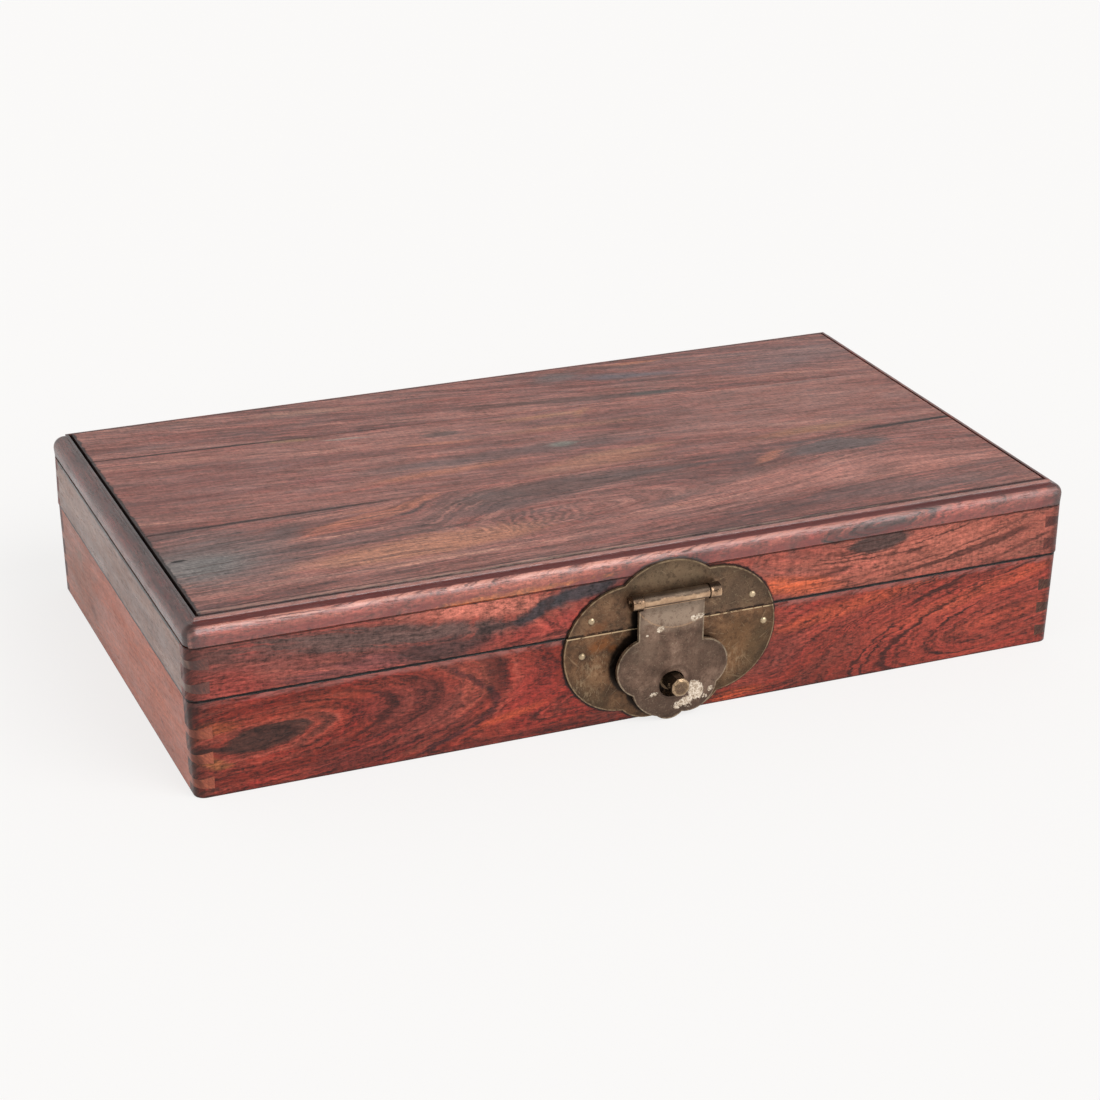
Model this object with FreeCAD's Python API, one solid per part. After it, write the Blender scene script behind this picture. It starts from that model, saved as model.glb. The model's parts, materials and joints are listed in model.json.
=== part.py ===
import FreeCAD, Part
import math
import os

# Ink stick and stone box: a flat hardwood box with a hinged lid, a moulded rim
# round a boarded top, and a lobed lock plate with a hanging hasp.
# Millimetres.  +X runs to the right along the front, +Y to the back, +Z up.
# The origin is the middle of the underside of the lower carcass.

V = FreeCAD.Vector
X_AXIS = V(1, 0, 0)
Y_AXIS = V(0, 1, 0)
Z_AXIS = V(0, 0, 1)

# Carcass
box_width = 400.0            # lower carcass at the split line
box_depth = 220.5
base_height = 43.5           # underside to the split line
lid_side_height = 23.3       # split line to the seam under the rim
side_thickness = 9.0         # side boards of base and lid
corner_radius = 4.5          # rounded upright corners of the base
lid_overhang = 0.4           # the lid stands proud of the base all round
base_end_taper = 1.3         # each end of the base leans in by this much at the foot
base_arris_radius = 1.0      # worn edge of the base along the split line
lid_arris_radius = 0.5
foot_arris_radius = 0.6

# Locating lip between base and lid
lip_width = 3.5
lip_height = 1.6
lip_clearance = 0.3

# Through dovetails at the corners
pin_height = 5.4             # end grain of a pin, on the inner edge of the joint
pin_pitch = 11.2
base_first_pin = 6.6         # middle of the lowest pin above the foot
base_pin_count = 3
lid_pin_pitch = 10.4
lid_first_pin = 5.8          # middle of the lowest pin above the split line
lid_pin_count = 2
dovetail_slope = 1.0 / 7.0

# Bottom boards, let into a rebate and flush with the foot
bottom_thickness = 6.0
bottom_rebate = 5.0
bottom_board_width = 66.0    # the middle one of three boards
wood_gap = 0.2               # open joint between neighbouring boards

# Partitions
divider_thickness = 5.0
divider_housing = 2.0        # depth that a divider is let into a board
divider_top_gap = 3.5        # top of the dividers below the split line
cross_divider_x = 50.0
long_divider_y = 0.0

# Rim moulding: heights above its seam, insets from the lid's outer face
rim_height = 11.0
nose_out = 0.3               # the nose stands proud of the lid boards
nose_mid_height = 4.2
nose_shoulder_inset = 0.75
nose_shoulder_height = 7.5
nose_top_inset = 3.3
nose_top_height = 9.1
cove_mid_inset = 4.3
cove_mid_height = 9.25
fillet_inset = 5.2           # outer edge of the narrow flat fillet
fillet_width = 1.3
fillet_foot_height = 9.9
fillet_drop = 0.2            # top of the fillet below the top boards
ledge_height = 3.8           # ledge that carries the top boards
groove_height = 3.0
groove_depth = 2.6

# Top boards
panel_end_gap = 1.2          # open groove at the left and right ends
panel_side_gap = 0.4         # open groove along the front and back
tongue_clearance = 0.3
front_seam_y = 88.5          # seams, measured back from the front of the carcass
back_seam_left_y = 178.0     # the back seam runs askew
back_seam_right_y = 153.5

# Cross battens under the top boards
batten_x = 105.0
batten_width = 16.0
batten_height = 7.0
batten_tail_height = 2.5
batten_tail_width = 12.0
batten_neck_width = 9.0
batten_end_gap = 0.2

# Lock plate, in two halves parted at the split line
lock_x = 9.0                 # the lock sits a little right of the middle
lock_plate_drop = 7.9        # middle of the plate below the split line
lock_plate_thickness = 1.2
plate_left_radius = 28.9     # the lobes are hand cut, so no two are alike
plate_left_offset = 20.4     # from the middle of the lock
plate_left_drop = 1.2        # below the middle of the plate
plate_right_radius = 29.3
plate_right_offset = 19.3
plate_right_rise = 0.6
plate_crown_radius = 29.0
plate_crown_offset = 1.6     # to the left
plate_crown_rise = 7.4
plate_foot_radius = 16.0     # the flat foot of the plate has two rounded corners
plate_foot_offset = 9.7
plate_foot_shift = 0.4       # to the left
plate_foot_drop = 19.3
plate_parting = 0.4
plate_seat_clearance = 0.15

# Round-headed pins of the lock plate
lock_pin_head_radius = 1.6
lock_pin_head_height = 0.9
lock_pin_shank_radius = 0.7
lock_pin_length = 7.5
lid_pin_offset = 37.2        # left and right of the middle of the lock
lid_pin_rise = 6.4           # above the split line
base_pin_offset = 42.2
base_pin_shift = 1.1         # both sit a little to the right
base_pin_drop = 8.2          # below the split line
base_pin_skew = 1.1          # the left one is lower and the right one higher

# Hasp with rolled barrel
hasp_axis_shift = 0.8        # middle of the barrel left of the middle of the lock
hasp_axis_rise = 13.2        # barrel above the split line
hasp_thickness = 1.6
hasp_plate_out = 0.6         # plate's mid plane in front of the barrel's axis
hasp_neck_width = 30.0
hasp_neck_shift = 1.8        # middle of the neck left of the middle of the barrel
hasp_neck_top_drop = 3.7     # the neck's left shoulder passes under the eye
hasp_barrel_length = 30.0
hasp_barrel_radius = 2.9
hasp_left_radius = 13.5      # hand-cut lobes; offsets are from the middle of the barrel
hasp_left_offset = 12.9
hasp_left_drop = 30.5
hasp_right_radius = 11.8
hasp_right_offset = 13.2
hasp_right_drop = 33.1
foot_left_radius = 16.2
foot_left_offset = 3.1
foot_left_drop = 38.5
foot_right_radius = 13.2
foot_right_offset = 7.0
foot_right_drop = 41.0
hasp_tip_radius = 8.5
hasp_tip_offset = 1.7        # to the left
hasp_tip_drop = 47.8
hasp_hole_radius = 6.0
hasp_hole_offset = 0.8       # to the left
hasp_hole_drop = 39.9
running_clearance = 0.05     # radial, between a pin and what turns on it

# Eyes that carry the hasp, and their pin
eye_radius = 3.4
eye_length = 5.0
eye_gap = 0.3                # between an eye and the barrel
eye_leg_thickness = 0.9
eye_leg_bend = 6.0           # length of each clenched leg inside the lid
eye_slot_clearance = 0.1
hasp_pin_radius = 1.5
hasp_pin_bore = 0.7          # the pin is a rolled tube
hasp_pin_inset = 0.5

# Lock post
post_above_hole = 0.6        # the hasp hangs a little low on the post
post_beside_hole = 1.3       # and a little to its left
post_across_flats = 8.0
post_sides = 8
post_end_chamfer = 0.9
post_reach = 11.8            # from the lock plate to the end
post_collar_radius = 5.2
post_collar_thickness = 1.5
post_shank_radius = 2.4
post_rivet_radius = 3.4
post_rivet_height = 1.3
post_eye_radius = 1.6        # cross hole for the padlock's bolt
post_eye_reach = 8.6         # from the lock plate to the middle of the hole
washer_radius = 5.5
washer_thickness = 1.0

# Back hinges
hinge_x = 120.0
hinge_leaf_thickness = 1.0
hinge_barrel_radius = 2.6
hinge_pin_radius = 1.25
hinge_barrel_clearance = 0.1 # between barrel and lid
hinge_scoop_clearance = 0.15 # round a barrel where the other leaf turns past it
hinge_length = 28.0
hinge_middle_knuckle = 12.0
hinge_knuckle_gap = 0.2
hinge_lobe_radius = 8.5
hinge_lobe_offset = 9.5
hinge_lobe_rise = 8.0
hinge_crown_rise = 14.0
hinge_parting = 0.2          # leaf edge to the split line
hinge_pin_head_radius = 2.0
hinge_pin_head_height = 0.9
lid_open_angle = 105.0       # the heel of the lid leaf meets the base leaf here
heel_width = 9.0
heel_thickness = 1.2
heel_touch_gap = 0.05
hinge_nail_head_radius = 1.4
hinge_nail_head_height = 0.8
hinge_nail_shank_radius = 0.6
hinge_nail_length = 6.5

# Places worked out from the sizes above
half_width = box_width / 2
half_depth = box_depth / 2
lid_half_width = half_width + lid_overhang
lid_half_depth = half_depth + lid_overhang
inner_half_width = half_width - side_thickness
inner_half_depth = half_depth - side_thickness
lid_inner_half_width = lid_half_width - side_thickness
lid_inner_half_depth = lid_half_depth - side_thickness
lid_corner_radius = corner_radius + lid_overhang
split_z = base_height
rim_z = split_z + lid_side_height
top_z = rim_z + rim_height
panel_z = rim_z + ledge_height
lock_plate_z = split_z - lock_plate_drop
lid_pin_z = split_z + lid_pin_rise
base_pin_z = split_z - base_pin_drop
hasp_axis_z = split_z + hasp_axis_rise
hasp_x = lock_x - hasp_axis_shift
post_x = hasp_x - hasp_hole_offset + post_beside_hole
post_z = hasp_axis_z - hasp_hole_drop + post_above_hole
base_front_y = -half_depth
lid_front_y = -lid_half_depth
base_plate_front_y = base_front_y - lock_plate_thickness
lid_plate_front_y = lid_front_y - lock_plate_thickness
hasp_axis_y = lid_plate_front_y - eye_radius
hinge_axis_y = lid_half_depth + hinge_barrel_clearance + hinge_barrel_radius
hinge_scoop_radius = hinge_barrel_radius + hinge_scoop_clearance
beyond = 5.0                 # how far a cutting tool runs past what it cuts


def block(x0, x1, y0, y1, z0, z1):
    return Part.makeBox(x1 - x0, y1 - y0, z1 - z0, V(x0, y0, z0))


def prism(points, start, direction):
    """Closed straight-sided outline, moved to start and extruded along direction."""
    wire = Part.makePolygon(points + [points[0]])
    solid = Part.Face(wire).extrude(direction)
    solid.translate(start)
    return solid


def disc_y(x, z, radius, y0, y1):
    """Round disc or rod lying along Y."""
    return Part.makeCylinder(radius, y1 - y0, V(x, y0, z), Y_AXIS)


def rod_x(x0, x1, y, z, radius):
    return Part.makeCylinder(radius, x1 - x0, V(x0, y, z), X_AXIS)


def tube_x(x0, x1, y, z, outer_radius, inner_radius):
    bore = rod_x(x0 - beyond, x1 + beyond, y, z, inner_radius)
    return rod_x(x0, x1, y, z, outer_radius).cut(bore)


def union(shapes):
    whole = shapes[0]
    for shape in shapes[1:]:
        whole = whole.fuse(shape)
    return whole.removeSplitter()


def cut_all(shape, tools):
    for tool in tools:
        shape = shape.cut(tool)
    return shape


def mirror_x(shape):
    return shape.mirror(V(0, 0, 0), X_AXIS)


def mirror_y(shape):
    return shape.mirror(V(0, 0, 0), Y_AXIS)


def edges_at(shape, z):
    """Edges that lie level at height z."""
    found = []
    for edge in shape.Edges:
        bounds = edge.BoundBox
        if abs(bounds.ZMin - z) < 1e-6 and abs(bounds.ZMax - z) < 1e-6:
            found.append(edge)
    return found


def carcass_block(foot_half_x, half_x, half_y, low_z, high_z, radius):
    """Block with rounded upright corners, whose ends may lean in at the foot."""
    outline = [V(-foot_half_x, 0, low_z), V(foot_half_x, 0, low_z),
               V(half_x, 0, high_z), V(-half_x, 0, high_z)]
    solid = prism(outline, V(0, -half_y, 0), V(0, 2 * half_y, 0))
    upright = [edge for edge in solid.Edges if edge.BoundBox.ZLength > (high_z - low_z) / 2]
    return solid.makeFillet(radius, upright)


def dovetail_pins(half_x, half_y, inner_y, low_z, first, pitch, count):
    """Pins of the side board at the front right corner, as cutting blocks."""
    reach = side_thickness + base_end_taper
    narrow = pin_height / 2 - dovetail_slope * side_thickness
    wide = pin_height / 2
    pins = []
    for index in range(count):
        middle = low_z + first + index * pitch
        outline = [
            V(half_x - side_thickness, 0, middle - wide),
            V(half_x - side_thickness + reach, 0, middle - narrow),
            V(half_x - side_thickness + reach, 0, middle + narrow),
            V(half_x - side_thickness, 0, middle + wide),
        ]
        pins.append(prism(outline, V(0, -half_y - beyond, 0), V(0, half_y + beyond - inner_y, 0)))
    return union(pins)


def split_carcass(ring, half_x, half_y, low_z, high_z, first, pitch, count):
    """Part a carcass ring into four boards with through dovetails."""
    inner_x = half_x - side_thickness
    inner_y = half_y - side_thickness
    front_right = dovetail_pins(half_x, half_y, inner_y, low_z, first, pitch, count)
    back_right = mirror_y(front_right)
    right_pins = [front_right, back_right]
    left_pins = [mirror_x(front_right), mirror_x(back_right)]
    floor, roof = low_z - beyond, high_z + beyond
    front_zone = block(-half_x - beyond, half_x + beyond, -half_y - beyond, -inner_y, floor, roof)
    front = cut_all(ring.common(front_zone), [front_right, left_pins[0]])
    back = cut_all(ring.common(mirror_y(front_zone)), [back_right, left_pins[1]])
    right_zone = block(inner_x, half_x + beyond, -inner_y, inner_y, floor, roof)
    right = union([ring.common(right_zone)] + [ring.common(pins) for pins in right_pins])
    left = union([ring.common(mirror_x(right_zone))] + [ring.common(pins) for pins in left_pins])
    return {"front": front, "back": back, "right": right, "left": left}


def make_base_boards():
    ring = carcass_block(half_width - base_end_taper, half_width, half_depth, 0, split_z,
                         corner_radius)
    ring = ring.makeFillet(base_arris_radius, edges_at(ring, split_z))
    ring = ring.makeFillet(foot_arris_radius, edges_at(ring, 0))
    lip = block(-inner_half_width - lip_width, inner_half_width + lip_width,
                -inner_half_depth - lip_width, inner_half_depth + lip_width,
                split_z - lip_height, split_z + lip_height)
    ring = ring.fuse(lip)
    ring = ring.cut(block(-inner_half_width, inner_half_width, -inner_half_depth, inner_half_depth,
                          -beyond, split_z + beyond))
    rebate_x = inner_half_width + bottom_rebate
    rebate_y = inner_half_depth + bottom_rebate
    ring = ring.cut(block(-rebate_x, rebate_x, -rebate_y, rebate_y, -beyond, bottom_thickness))
    boards = split_carcass(ring.removeSplitter(), half_width, half_depth, 0, split_z,
                           base_first_pin, pin_pitch, base_pin_count)
    for cutter in (cross_divider_block(), long_divider_block()):
        for side in boards:
            boards[side] = boards[side].cut(cutter)
    return boards


def make_lid_boards():
    ring = carcass_block(lid_half_width, lid_half_width, lid_half_depth, split_z, rim_z,
                         lid_corner_radius)
    ring = ring.makeFillet(lid_arris_radius, edges_at(ring, split_z))
    ring = ring.cut(block(-lid_inner_half_width, lid_inner_half_width,
                          -lid_inner_half_depth, lid_inner_half_depth,
                          split_z - beyond, rim_z + beyond))
    recess_x = inner_half_width + lip_width + lip_clearance
    recess_y = inner_half_depth + lip_width + lip_clearance
    ring = ring.cut(block(-recess_x, recess_x, -recess_y, recess_y,
                          split_z - beyond, split_z + lip_height + lip_clearance))
    return split_carcass(ring.removeSplitter(), lid_half_width, lid_half_depth, split_z, rim_z,
                         lid_first_pin, lid_pin_pitch, lid_pin_count)


def cross_divider_block():
    reach = inner_half_depth + divider_housing
    return block(cross_divider_x - divider_thickness / 2, cross_divider_x + divider_thickness / 2,
                 -reach, reach, bottom_thickness, split_z - divider_top_gap)


def long_divider_block():
    right_end = cross_divider_x - divider_thickness / 2 + divider_housing
    return block(-inner_half_width - divider_housing, right_end,
                 long_divider_y - divider_thickness / 2, long_divider_y + divider_thickness / 2,
                 bottom_thickness, split_z - divider_top_gap)


def make_bottom_boards():
    """Three boards side by side; the middle one straddles the origin."""
    half_x = inner_half_width + bottom_rebate
    half_y = inner_half_depth + bottom_rebate
    seam = bottom_board_width / 2
    middle = block(-half_x, half_x, -seam, seam, 0, bottom_thickness)
    front = block(-half_x, half_x, -half_y, -seam - wood_gap, 0, bottom_thickness)
    return {"front": front, "middle": middle, "back": mirror_y(front)}


def rim_profile(outer_part_only):
    """Section of the moulding at x = 0, drawn on the front of the lid."""
    def at(inset, height):
        return V(0, lid_front_y + inset, rim_z + height)

    groove_inset = fillet_inset + fillet_width - groove_depth
    groove_top = ledge_height + groove_height
    fillet_top = rim_height - fillet_drop
    nose = Part.Arc(at(-nose_out, nose_mid_height), at(nose_shoulder_inset, nose_shoulder_height),
                    at(nose_top_inset, nose_top_height)).toShape()
    cove = Part.Arc(at(nose_top_inset, nose_top_height), at(cove_mid_inset, cove_mid_height),
                    at(fillet_inset, fillet_foot_height)).toShape()
    corners = [
        at(fillet_inset, fillet_foot_height),
        at(fillet_inset, fillet_top),
        at(fillet_inset + fillet_width, fillet_top),
        at(fillet_inset + fillet_width, groove_top),
        at(groove_inset, groove_top),
        at(groove_inset, ledge_height),
        at(side_thickness, ledge_height),
        at(side_thickness, 0),
        at(0, 0),
        at(-nose_out, nose_mid_height),
    ]
    face = Part.Face(Part.Wire([nose, cove, Part.makePolygon(corners)]))
    if outer_part_only:
        zone = block(-beyond, beyond, lid_front_y - beyond, lid_front_y + lid_corner_radius,
                     rim_z - beyond, top_z + beyond)
        face = face.common(zone).Faces[0]
    return face


def make_rim_piece(half_length, half_offset):
    """One mitred length along X, whose outer face is half_offset from the middle."""
    straight = half_length - lid_corner_radius
    centre_y = -half_offset + lid_corner_radius
    inner_y = -half_offset + side_thickness
    shift = V(0, lid_half_depth - half_offset, 0)
    length = rim_profile(False)
    length.translate(shift + V(-straight, 0, 0))
    length = length.extrude(V(2 * straight, 0, 0))
    mitre_end = straight - (side_thickness - lid_corner_radius)
    mitre = [
        V(-straight, -half_offset - beyond, 0),
        V(straight, -half_offset - beyond, 0),
        V(straight, centre_y, 0),
        V(mitre_end, inner_y, 0),
        V(-mitre_end, inner_y, 0),
        V(-straight, centre_y, 0),
    ]
    length = length.common(prism(mitre, V(0, 0, rim_z - beyond), V(0, 0, rim_height + 2 * beyond)))
    corner = rim_profile(True)
    corner.translate(shift + V(straight, 0, 0))
    corner = corner.revolve(V(straight, centre_y, 0), Z_AXIS, 45)
    return union([length, corner, mirror_x(corner)])


def make_rim():
    front = make_rim_piece(lid_half_width, lid_half_depth)
    side = make_rim_piece(lid_half_depth, lid_half_width)
    left = side.copy()
    left.rotate(V(0, 0, 0), Z_AXIS, -90)
    right = side.copy()
    right.rotate(V(0, 0, 0), Z_AXIS, 90)
    seat = lock_plate_outline(lid_front_y - beyond, lid_front_y, plate_seat_clearance)
    return {"front": front.cut(seat), "back": mirror_y(front), "left": left, "right": right}


def make_panel_boards():
    """Three top boards with a tongue all round, parted along two seams."""
    edge = fillet_inset + fillet_width
    face_x = lid_half_width - edge - panel_end_gap
    face_y = lid_half_depth - edge - panel_side_gap
    tongue_x = lid_half_width - edge + groove_depth - tongue_clearance - panel_end_gap
    tongue_y = lid_half_depth - edge + groove_depth - tongue_clearance
    tongue_top = panel_z + groove_height - tongue_clearance
    panel = union([
        block(-face_x, face_x, -face_y, face_y, panel_z, top_z),
        block(-tongue_x, tongue_x, -tongue_y, tongue_y, panel_z, tongue_top),
    ])
    panel = cut_all(panel, [batten_tail(batten_x), batten_tail(-batten_x)])
    skew = (back_seam_right_y - back_seam_left_y) / box_width
    far = half_width + beyond

    def zone(low_left, low_right, high_left, high_right):
        outline = [V(-far, low_left, 0), V(far, low_right, 0),
                   V(far, high_right, 0), V(-far, high_left, 0)]
        return prism(outline, V(0, 0, panel_z - beyond), V(0, 0, rim_height + 2 * beyond))

    front_seam = base_front_y + front_seam_y
    back_left = base_front_y + back_seam_left_y - skew * beyond
    back_right = base_front_y + back_seam_right_y + skew * beyond
    half_gap = wood_gap / 2
    outside = half_depth + beyond
    return {
        "front": panel.common(zone(-outside, -outside, front_seam - half_gap, front_seam - half_gap)),
        "middle": panel.common(zone(front_seam + half_gap, front_seam + half_gap,
                                    back_left - half_gap, back_right - half_gap)),
        "back": panel.common(zone(back_left + half_gap, back_right + half_gap, outside, outside)),
    }


def batten_tail(x):
    """Sliding dovetail along a batten, let up into the top boards."""
    half_length = lid_inner_half_depth - batten_end_gap
    outline = [
        V(x - batten_neck_width / 2, 0, panel_z),
        V(x + batten_neck_width / 2, 0, panel_z),
        V(x + batten_tail_width / 2, 0, panel_z + batten_tail_height),
        V(x - batten_tail_width / 2, 0, panel_z + batten_tail_height),
    ]
    return prism(outline, V(0, -half_length, 0), V(0, 2 * half_length, 0))


def make_batten(x):
    half_length = lid_inner_half_depth - batten_end_gap
    bar = block(x - batten_width / 2, x + batten_width / 2, -half_length, half_length,
                panel_z - batten_height, panel_z)
    return union([bar, batten_tail(x)])


def lock_plate_outline(y0, y1, margin):
    """Lobed outline of the whole lock plate, grown by margin."""
    foot_x = lock_x - plate_foot_shift
    foot_z = lock_plate_z - plate_foot_drop
    lobes = [
        disc_y(lock_x - plate_left_offset, lock_plate_z - plate_left_drop,
               plate_left_radius + margin, y0, y1),
        disc_y(lock_x + plate_right_offset, lock_plate_z + plate_right_rise,
               plate_right_radius + margin, y0, y1),
        disc_y(lock_x - plate_crown_offset, lock_plate_z + plate_crown_rise,
               plate_crown_radius + margin, y0, y1),
        block(foot_x - plate_foot_offset, foot_x + plate_foot_offset, y0, y1,
              foot_z - plate_foot_radius - margin, lock_plate_z),
    ]
    for side in (-1, 1):
        lobes.append(disc_y(foot_x + side * plate_foot_offset, foot_z,
                            plate_foot_radius + margin, y0, y1))
    return union(lobes)


def make_lock_plates():
    far = box_width
    lid_zone = block(-far, far, -far, far, split_z + plate_parting / 2, far)
    base_zone = block(-far, far, -far, far, -far, split_z - plate_parting / 2)
    lid_plate = lock_plate_outline(lid_plate_front_y, lid_front_y, 0).common(lid_zone)
    base_plate = lock_plate_outline(base_plate_front_y, base_front_y, 0).common(base_zone)
    return lid_plate, base_plate


def round_nail(x, z, face_y, head_radius, head_height, shank_radius, length):
    """Nail driven into the front, its round head standing on face_y."""
    cap = Part.Arc(V(x, face_y - head_height, z),
                   V(x + head_radius * math.sin(math.pi / 4),
                     face_y - head_height * math.cos(math.pi / 4), z),
                   V(x + head_radius, face_y, z)).toShape()
    rest = Part.makePolygon([
        V(x + head_radius, face_y, z),
        V(x + shank_radius, face_y, z),
        V(x + shank_radius, face_y + length, z),
        V(x, face_y + length, z),
        V(x, face_y - head_height, z),
    ])
    return Part.Face(Part.Wire([cap, rest])).revolve(V(x, face_y, z), Y_AXIS, 360)


def make_lock_pins(face_y, middle_x, offset, z, skew):
    return [round_nail(middle_x + side * offset, z + side * skew, face_y, lock_pin_head_radius,
                       lock_pin_head_height, lock_pin_shank_radius, lock_pin_length)
            for side in (-1, 1)]


def make_hasp():
    """Lobed plate hanging from a rolled barrel; the lock post passes its hole."""
    mid_y = hasp_axis_y - hasp_plate_out
    y0, y1 = mid_y - hasp_thickness / 2, mid_y + hasp_thickness / 2

    def lobe(offset, drop, radius):
        return disc_y(hasp_x + offset, hasp_axis_z - drop, radius, y0, y1)

    left, right = hasp_x - hasp_barrel_length / 2, hasp_x + hasp_barrel_length / 2
    neck_left = hasp_x - hasp_neck_shift - hasp_neck_width / 2
    neck_right = hasp_x - hasp_neck_shift + hasp_neck_width / 2
    low_z = hasp_axis_z - hasp_left_drop
    plate = [
        block(neck_left, neck_right, y0, y1, low_z, hasp_axis_z - hasp_neck_top_drop),
        block(left, neck_right, y0, y1, low_z, hasp_axis_z),
        lobe(-hasp_left_offset, hasp_left_drop, hasp_left_radius),
        lobe(hasp_right_offset, hasp_right_drop, hasp_right_radius),
        lobe(-foot_left_offset, foot_left_drop, foot_left_radius),
        lobe(foot_right_offset, foot_right_drop, foot_right_radius),
        lobe(-hasp_tip_offset, hasp_tip_drop, hasp_tip_radius),
    ]
    barrel = rod_x(left, right, hasp_axis_y, hasp_axis_z, hasp_barrel_radius)
    hole = disc_y(hasp_x - hasp_hole_offset, hasp_axis_z - hasp_hole_drop, hasp_hole_radius,
                  y0 - beyond, y1 + beyond)
    bore = rod_x(left - beyond, right + beyond, hasp_axis_y, hasp_axis_z,
                 hasp_pin_radius + running_clearance)
    return cut_all(union(plate + [barrel]), [hole, bore])


def eye_shank(side, clearance):
    """Two legs of an eye, side by side through plate and board."""
    start = hasp_barrel_length / 2 + eye_gap
    x0, x1 = sorted((hasp_x + side * start, hasp_x + side * (start + eye_length)))
    return block(x0 - clearance, x1 + clearance, hasp_axis_y, lid_front_y + side_thickness,
                 hasp_axis_z - eye_leg_thickness - clearance,
                 hasp_axis_z + eye_leg_thickness + clearance)


def make_hasp_eye(side):
    """Ring with two legs that pass the lid board and are clenched inside."""
    start = hasp_barrel_length / 2 + eye_gap
    x0, x1 = sorted((hasp_x + side * start, hasp_x + side * (start + eye_length)))
    ring = rod_x(x0, x1, hasp_axis_y, hasp_axis_z, eye_radius)
    inside_y = lid_front_y + side_thickness
    clench = block(x0, x1, inside_y, inside_y + eye_leg_thickness,
                   hasp_axis_z - eye_leg_bend, hasp_axis_z + eye_leg_bend)
    bore = rod_x(x0 - beyond, x1 + beyond, hasp_axis_y, hasp_axis_z, hasp_pin_radius)
    return union([ring, eye_shank(side, 0), clench]).cut(bore)


def make_hasp_pin():
    reach = hasp_barrel_length / 2 + eye_gap + eye_length - hasp_pin_inset
    return tube_x(hasp_x - reach, hasp_x + reach, hasp_axis_y, hasp_axis_z,
                  hasp_pin_radius, hasp_pin_bore)


def make_lock_post():
    """Hammered eight-sided stub on a collar, riveted over a washer inside."""
    corner = post_across_flats / 2 / math.cos(math.pi / post_sides)
    outline = []
    for index in range(post_sides):
        angle = (index + 0.5) * 2 * math.pi / post_sides
        outline.append(V(post_x + corner * math.cos(angle), 0, post_z + corner * math.sin(angle)))
    end_y = base_plate_front_y - post_reach
    stub = prism(outline, V(0, end_y, 0), V(0, post_reach, 0))
    end_edges = [edge for edge in stub.Edges if abs(edge.BoundBox.YMax - end_y) < 1e-6]
    stub = stub.makeChamfer(post_end_chamfer, end_edges)
    collar = disc_y(post_x, post_z, post_collar_radius,
                    base_plate_front_y - post_collar_thickness, base_plate_front_y)
    inside_y = base_front_y + side_thickness + washer_thickness
    shank = disc_y(post_x, post_z, post_shank_radius, base_plate_front_y, inside_y)
    rivet = Part.makeCone(post_rivet_radius, post_shank_radius, post_rivet_height,
                          V(post_x, inside_y, post_z), Y_AXIS)
    eye_y = base_plate_front_y - post_eye_reach
    eye = rod_x(post_x - post_across_flats, post_x + post_across_flats, eye_y, post_z,
                post_eye_radius)
    return union([stub, collar, shank, rivet]).cut(eye)


def make_washer():
    y0 = base_front_y + side_thickness
    ring = disc_y(post_x, post_z, washer_radius, y0, y0 + washer_thickness)
    return ring.cut(post_hole())


def post_hole():
    return disc_y(post_x, post_z, post_shank_radius, base_plate_front_y - beyond,
                  base_front_y + side_thickness + beyond)


def hinge_leaf_outline(x, y0, y1, up):
    """Lobed leaf above the split line (up = 1) or below it (up = -1)."""
    lobes = []
    for side in (-1, 1):
        lobes.append(disc_y(x + side * hinge_lobe_offset, split_z + up * hinge_lobe_rise,
                            hinge_lobe_radius, y0, y1))
    lobes.append(disc_y(x, split_z + up * hinge_crown_rise, hinge_lobe_radius, y0, y1))
    z0, z1 = sorted((split_z, split_z + up * hinge_lobe_rise))
    lobes.append(block(x - hinge_length / 2, x + hinge_length / 2, y0, y1, z0, z1))
    z0, z1 = sorted((split_z + up * hinge_parting, split_z + up * box_depth))
    zone = block(x - box_width, x + box_width, y0, y1, z0, z1)
    return union(lobes).common(zone)


def knuckle_spans(x):
    """Lid leaf's middle knuckle, and the base leaf's two outer ones."""
    middle = hinge_middle_knuckle / 2
    inner = middle + hinge_knuckle_gap
    outer = hinge_length / 2
    return [(x - middle, x + middle)], [(x - outer, x - inner), (x + inner, x + outer)]


def make_hinge_leaf(x, up):
    lid_spans, base_spans = knuckle_spans(x)
    own_spans, other_spans = (lid_spans, base_spans) if up > 0 else (base_spans, lid_spans)
    face_y = lid_half_depth if up > 0 else half_depth
    leaf = hinge_leaf_outline(x, face_y, face_y + hinge_leaf_thickness, up)
    for x0, x1 in other_spans:
        leaf = leaf.cut(rod_x(x0 - hinge_knuckle_gap, x1 + hinge_knuckle_gap,
                              hinge_axis_y, split_z, hinge_scoop_radius))
    pieces = [leaf]
    for x0, x1 in own_spans:
        pieces.append(rod_x(x0, x1, hinge_axis_y, split_z, hinge_barrel_radius))
    if up > 0:
        pieces.append(hinge_heel(x))
    bore_radius = hinge_pin_radius + (running_clearance if up > 0 else 0)
    bore = rod_x(x - hinge_length, x + hinge_length, hinge_axis_y, split_z, bore_radius)
    return union(pieces).cut(bore)


def hinge_heel(x):
    """Tab behind the lid knuckle that stops the lid on the base leaf."""
    swing = math.radians(lid_open_angle)
    room = hinge_axis_y - (half_depth + hinge_leaf_thickness) - heel_touch_gap
    length = (room - heel_thickness / 2 * math.sin(swing)) / -math.cos(swing)
    return block(x - heel_width / 2, x + heel_width / 2, hinge_axis_y, hinge_axis_y + length,
                 split_z - heel_thickness / 2, split_z + heel_thickness / 2)


def make_hinge_pin(x):
    half = hinge_length / 2
    shank = rod_x(x - half, x + half, hinge_axis_y, split_z, hinge_pin_radius)
    heads = []
    for side in (-1, 1):
        heads.append(Part.makeCone(hinge_pin_head_radius, hinge_pin_radius, hinge_pin_head_height,
                                   V(x + side * half, hinge_axis_y, split_z), V(side, 0, 0)))
    return union([shank] + heads)


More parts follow.
